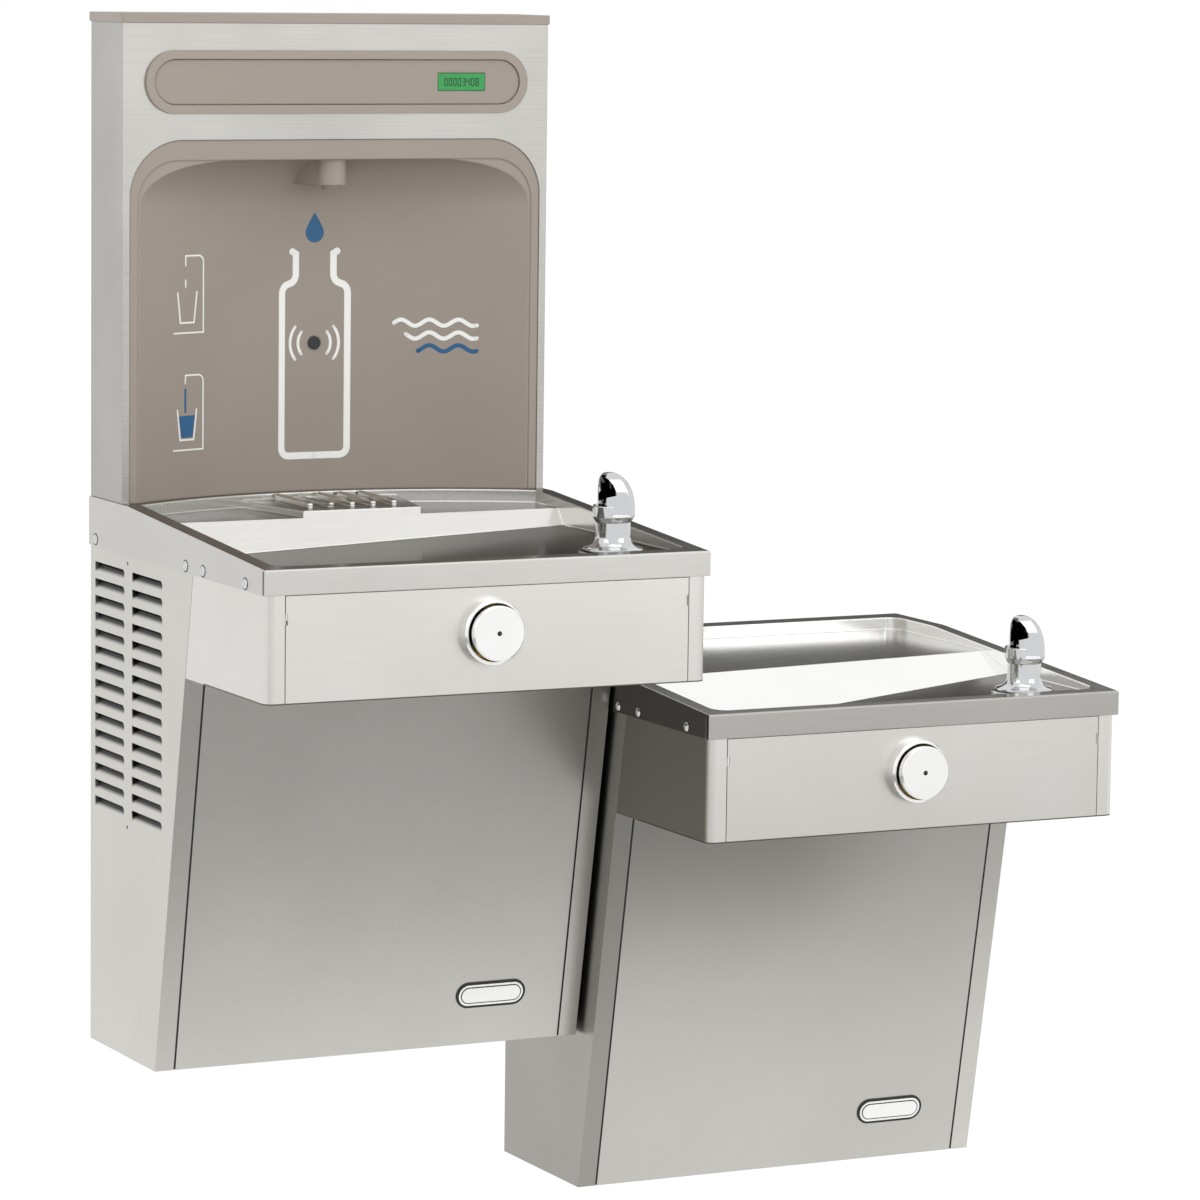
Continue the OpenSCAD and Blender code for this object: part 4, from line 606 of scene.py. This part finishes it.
def drop(x, z, height):
    """A water drop whose round foot stands on z."""
    r = 0.33 * height
    shoulder = z + 0.74 * height
    return flat(arc((x, z + r), r, 150, 390, 30)
                + [(x + 0.16 * height, shoulder), (x, z + height), (x - 0.16 * height, shoulder)])


def sign(name, parts, look):
    """A printed sign on the alcove's back wall."""
    piece(name, on_wall(join(*parts)), look, "housing")


# A bottle's outline, open at its neck, and a drop above it
half_bottle = ([(0, 583.6)] + arc((27.7, 591.6), 8, 270, 360, 6) + [(35.7, 744)]
               + arc((25.7, 747), 10, 0, 55, 5) + arc((30.5, 766), 10, 235, 180, 5)
               + [(20.5, 786.4), (24.3, 788.8)])
mirrored = [(-x, z) for x, z in half_bottle]
sign("sign_bottle", [stroke(half_bottle, 7.1), stroke(mirrored, 7.1)], ink_pale)
sign("sign_drop", [drop(0, 797.7, 30.1)], ink_blue)
# Two arcs on each side of the sensor
waves = [stroke(arc((0, 697), r, a - 38, a + 38, 12), 3.1) for r in (17.7, 26.5) for a in (0, 180)]
sign("sign_sensor_waves", waves, ink_pale)
# Two pictograms: a cup under a tap, and a cup that fills
cup = [(-160, 752), (-156.5, 722), (-139.5, 722), (-136, 752)]
sign("sign_cup_waits",
     [stroke([(-165, 712), (-128, 712), (-128, 782)] + arc((-134, 782), 6, 0, 90, 5)
             + [(-150, 788), (-150, 778)], 1.7),
      stroke(cup, 1.9), stroke([(-150, 764), (-150, 757)], 1.9)], ink_pale)
sign("sign_cup_full",
     [stroke([(-165, 596), (-128, 596), (-128, 664)] + arc((-134, 664), 6, 0, 90, 5)
             + [(-150, 670), (-150, 662)], 1.7),
      stroke([(x, z - 116) for x, z in cup], 1.9)], ink_pale)
sign("sign_cup_water", [flat([(-158, 630), (-155, 608.4), (-141, 608.4), (-138, 630)]),
                        stroke([(-150, 656), (-150, 634)], 2.4)], ink_blue)
# Three plain waves at the right of the bottle, each a point every 2 mm
WAVE_RIGHT, WAVE_HIGH, WAVE_LONG = 164, 3.2, 28
for name, z, left, look in (("sign_wave_top", 716, 84, ink_pale),
                            ("sign_wave_middle", 703, 96, ink_pale),
                            ("sign_wave_low", 690, 108, ink_blue)):
    sign(name, [stroke([(x, z + WAVE_HIGH * math.sin(x * math.tau / WAVE_LONG))
                        for x in range(left, WAVE_RIGHT + 1, 2)], 4.2)], look)

# Painted shade: a flat dark film in each button's small dimple
DIMPLE_AT, DIMPLE_RADIUS = Vector((0, -0.46985, 0.457)), 2.3 * MM
for unit, place in UNITS.items():
    dot = bmesh.new()
    bmesh.ops.create_circle(dot, cap_ends=True, segments=32, radius=DIMPLE_RADIUS)
    rotate(dot, 90, "X")
    bmesh.ops.translate(dot, verts=dot.verts, vec=place + DIMPLE_AT)
    piece(unit + "button_dimple", inked(dot, FILM), ink_dark_and_shade, unit + "button_body")


def pill(width, height):
    """A lozenge outline about the origin."""
    half, r = width / 2 - height / 2, height / 2
    return arc((half, 0), r, -90, 90, 18) + arc((-half, 0), r, 90, 270, 18)


# Blank lozenge plates low on the front panels. A panel's face stands at PANEL_Y at its foot and
# comes forward by LEAN for each unit of height
PANEL_Y, LEAN = -176, 0.19
PLATE_X, PLATE_Z = 128, 52
for unit, place in UNITS.items():
    for name, width, height, low, high, look in (
            ("rim", 76, 27, 0.0, 1.2, ink_dark_and_shade), ("field", 71, 22, 1.2, 1.5, chrome_satin),
            ("line", 66.5, 17.5, 1.5, 1.7, ink_dark_and_shade),
            ("heart", 64.5, 15.5, 1.7, 1.9, chrome_satin)):
        plaque = prism(metres(pill(width, height)), -high * MM, -low * MM, upright=True)
        rotate(plaque, math.degrees(math.atan(LEAN)), "X")
        bmesh.ops.translate(plaque, verts=plaque.verts,
                            vec=place + MM * Vector((PLATE_X, PANEL_Y - LEAN * PLATE_Z, PLATE_Z)))
        piece(unit + "plaque_" + name, plaque, look, "housing")


def apron_outline(out):
    """The apron's sides and front in plan, as far outside it as out."""
    half, front, r = 219.5, -441, 9 + out
    return ([(-half - r, -300)] + arc((-half, front), r, 180, 270, 8)
            + arc((half, front), r, 270, 360, 8) + [(half + r, -300)])


# Dark gaskets in the front panels' seams and the skirts' corner gaps, and a painted shadow line
# under the aprons' hems
SEAM_X, SEAM_HALF, SEAM_LOW, SEAM_HIGH = 208.1, 1.0, 1.0, 397.0
SEAM_FRONT, SEAM_BACK = PANEL_Y - 0.12, PANEL_Y + 1
HEM_LOW, HEM_HIGH, HEM_OUT, HEM_IN = 398.0, 399.2, 0.12, -0.3
GAP_LOW, GAP_HIGH = 500.5, 523
for unit, place in UNITS.items():
    for side in (-1, 1):
        edge = [(y - LEAN * z, z) for y, z in ((SEAM_FRONT, SEAM_LOW), (SEAM_FRONT, SEAM_HIGH),
                                               (SEAM_BACK, SEAM_HIGH), (SEAM_BACK, SEAM_LOW))]
        strip = loft([metres([(side * SEAM_X + s, y, z) for y, z in edge])
                      for s in (-SEAM_HALF, SEAM_HALF)])
        bmesh.ops.translate(strip, verts=strip.verts, vec=place)
        piece(unit + ("gasket_left" if side < 0 else "gasket_right"), strip, rubber, "housing")
    # Painted shadow: a dark band along the apron's hem
    hem = prism(metres(apron_outline(HEM_OUT) + apron_outline(HEM_IN)[::-1]), HEM_LOW * MM,
                HEM_HIGH * MM, place)
    piece(unit + "apron_hem", hem, hem_shadow, "housing")
    gap = prism(metres(box_outline(-230.62, -449.6, -230.4, -448.2)), GAP_LOW * MM, GAP_HIGH * MM,
                place)
    piece(unit + "skirt_gap", gap, rubber, "housing")

# Painted shade: a black sheet behind the louvres stands in for the shade inside the cabinet
shade_sheet = prism(metres(box_outline(-217.2, -195, -216.8, -9)), 232 * MM, 492 * MM, UPPER)
piece("louvre_shade_sheet", shade_sheet, rubber, "housing")

# Thin black rings under the heads of the skirt screws: painted shade round each head
SCREW_X, SCREW_YS, SCREW_Z = 230.5, (-18, -257, -301, -405), 506.5
SHADE_RING_RADIUS, SHADE_RING_THICK = 5.9, 0.25
for unit, place in UNITS.items():
    shade_rings = []
    for side in (-1, 1):
        for y in SCREW_YS:
            shade_ring = lathe(metres([(0, 0), (SHADE_RING_RADIUS, 0), (SHADE_RING_RADIUS, SHADE_RING_THICK),
                                 (0, SHADE_RING_THICK)]), 28)
            rotate(shade_ring, side * 90, "Y")
            bmesh.ops.translate(shade_ring, verts=shade_ring.verts,
                                vec=place + MM * Vector((side * SCREW_X, y, SCREW_Z)))
            shade_rings.append(shade_ring)
    piece(unit + "screw_shade_rings", join(*shade_rings), rubber, "housing")

# Counter: plain seven-segment digits behind the window, and each bar's column, level and way
LIT = {"0": "abcdef", "3": "abgcd", "4": "fgbc", "8": "abcdefg"}
BARS = {"a": (0, 4, "across"), "b": (1, 3, "up"), "c": (1, 1, "up"), "d": (0, 0, "across"),
        "e": (0, 1, "up"), "f": (0, 3, "up"), "g": (0, 2, "across")}
COUNT, DIGIT_PITCH, DIGIT_WIDE, DIGITS_FOOT = "00003408", 4.9, 2.9, 955.9
BAR_RISE, BAR_THICK, BAR_TALL, BAR_INSET = 1.8, 0.9, 3.0, 0.2
WINDOW_X, WINDOW_Y = 132.5, -0.08651
DIGITS_LEFT = WINDOW_X - ((len(COUNT) - 1) * DIGIT_PITCH + DIGIT_WIDE) / 2
digits = []
for i, digit in enumerate(COUNT):
    left = DIGITS_LEFT + i * DIGIT_PITCH
    for bar in LIT[digit]:
        column, rise, way = BARS[bar]
        x, z = left + column * DIGIT_WIDE, DIGITS_FOOT + rise * BAR_RISE
        if way == "across":
            outline = box_outline(x + BAR_INSET, z - BAR_THICK / 2, x + DIGIT_WIDE - BAR_INSET,
                                  z + BAR_THICK / 2)
        else:
            outline = box_outline(x - BAR_THICK / 2, z - BAR_TALL / 2, x + BAR_THICK / 2,
                                  z + BAR_TALL / 2)
        digits.append(flat(outline))
digits = join(*digits)
bmesh.ops.translate(digits, verts=digits.verts, vec=UPPER + Vector((0, WINDOW_Y, 0)))
piece("counter_digits", inked(digits, -FILM / 2), ink_dark_and_shade, "housing")


# Studio: pale floor below the height that such a unit hangs at, soft boxes and a white tent
def sheet(name, corners, paint, in_view):
    """A flat sheet of the studio through its corners. Out of view, only metal sees it."""
    mesh = bmesh.new()
    bmesh.ops.contextual_create(
        mesh, geom=[bmesh.ops.create_vert(mesh, co=corner)["vert"][0] for corner in corners])
    data = bpy.data.meshes.new(name)
    mesh.to_mesh(data)
    mesh.free()
    data.materials.append(paint)
    made = bpy.data.objects.new(name, data)
    bpy.context.scene.collection.objects.link(made)
    made.visible_camera = made.visible_shadow = made.visible_diffuse = in_view


def background_rays(tree):
    """1 for what the camera, metal and glass see, which is the white background."""
    path = add(tree, "ShaderNodeLightPath").outputs
    seen = add(tree, "ShaderNodeMath", {0: path["Is Camera Ray"], 1: path["Is Glossy Ray"]},
               operation="MAXIMUM").outputs[0]
    return add(tree, "ShaderNodeMath", {0: seen, 1: path["Is Transmission Ray"]},
               operation="MAXIMUM").outputs[0]


# Matt white paint, which keeps a quarter of its own shading and so the object's shadow
floor_paint, tree = blank("floor_pale_paint")
lift = add(tree, "ShaderNodeMath", {0: background_rays(tree), 1: 0.75},
           operation="MULTIPLY").outputs[0]
matt = add(tree, "ShaderNodeBsdfDiffuse", {"Color": linear("#e4e4e3")}).outputs[0]
white = add(tree, "ShaderNodeEmission", {"Color": linear("#ffffff"), "Strength": 1.07}).outputs[0]
add(tree, "ShaderNodeOutputMaterial",
    {"Surface": add(tree, "ShaderNodeMixShader", {0: lift, 1: matt, 2: white}).outputs[0]})
FLOOR_Z, WIDE = -0.92, 500
sheet("floor", [(x, y, FLOOR_Z) for x, y in box_outline(-WIDE, -WIDE, WIDE, WIDE)],
      floor_paint, True)

# Grey card in front of the panels and dark cloth behind the unit. Only metal sees them, and takes
# from them the soft dark bands that it has in the photograph
ON_FLOOR = FLOOR_Z + 0.005
CLOTH_Y, CLOTH_LEFT, CLOTH_RIGHT, CLOTH_TOP = 2.7, -0.1, 4.4, 1.15
for name, tone, corners in (
        ("card_grey", "#939392",
         [(x, y, ON_FLOOR) for x, y in box_outline(-3, -3.2, 3, -1.05)]),
        ("cloth_dark", "#5c5c5a",
         [(x, CLOTH_Y, z) for x, z in box_outline(CLOTH_LEFT, FLOOR_Z, CLOTH_RIGHT, CLOTH_TOP)]),
        ("cloth_dark_foot", "#5c5c5a",
         [(x, y, ON_FLOOR) for x, y in box_outline(0.1, 0.9, CLOTH_RIGHT, CLOTH_Y)])):
    cloth, tree = blank(name)
    add(tree, "ShaderNodeOutputMaterial",
        {"Surface": add(tree, "ShaderNodeBsdfDiffuse", {"Color": linear(tone)}).outputs[0]})
    sheet(name, corners, cloth, False)

# White tent, a little stronger overhead, and plain white as a background
world = bpy.data.worlds.new("studio")
bpy.context.scene.world = world
world.use_nodes = True
tree = world.node_tree
tree.nodes.clear()
way = add(tree, "ShaderNodeSeparateXYZ",
          {0: add(tree, "ShaderNodeTexCoord").outputs["Generated"]}).outputs
overhead = add(tree, "ShaderNodeMapRange", {0: way["Z"], 1: 0.3, 2: 0.8, 3: 1.05, 4: 1.2},
               interpolation_type="SMOOTHSTEP").outputs[0]
power = add(tree, "ShaderNodeMix", {0: background_rays(tree), 2: overhead, 3: 1.03}).outputs[0]
tent = add(tree, "ShaderNodeBackground", {"Color": linear("#ffffff"), "Strength": power})
add(tree, "ShaderNodeOutputWorld", {"Surface": tent.outputs[0]})


def softbox(name, place, aim, size, watts):
    """A rectangular area lamp that faces a point."""
    lamp = bpy.data.lights.new(name, "AREA")
    lamp.shape = "RECTANGLE"
    lamp.size, lamp.size_y = size
    lamp.energy = watts
    made = bpy.data.objects.new(name, lamp)
    made.location = place
    made.rotation_euler = (Vector(aim) - Vector(place)).to_track_quat("-Z", "Y").to_euler()
    bpy.context.scene.collection.objects.link(made)


softbox("softbox_front_right", (2.0, -3.8, 1.1), (0.2, 0, 0), (2.6, 2.2), 18)
softbox("softbox_left", (-3.2, -1.4, 1.6), (0, 0, 0), (2.0, 2.0), 10)
softbox("softbox_top", (0.2, -1.2, 2.8), (0.2, -0.2, 0), (2.4, 1.6), 14)
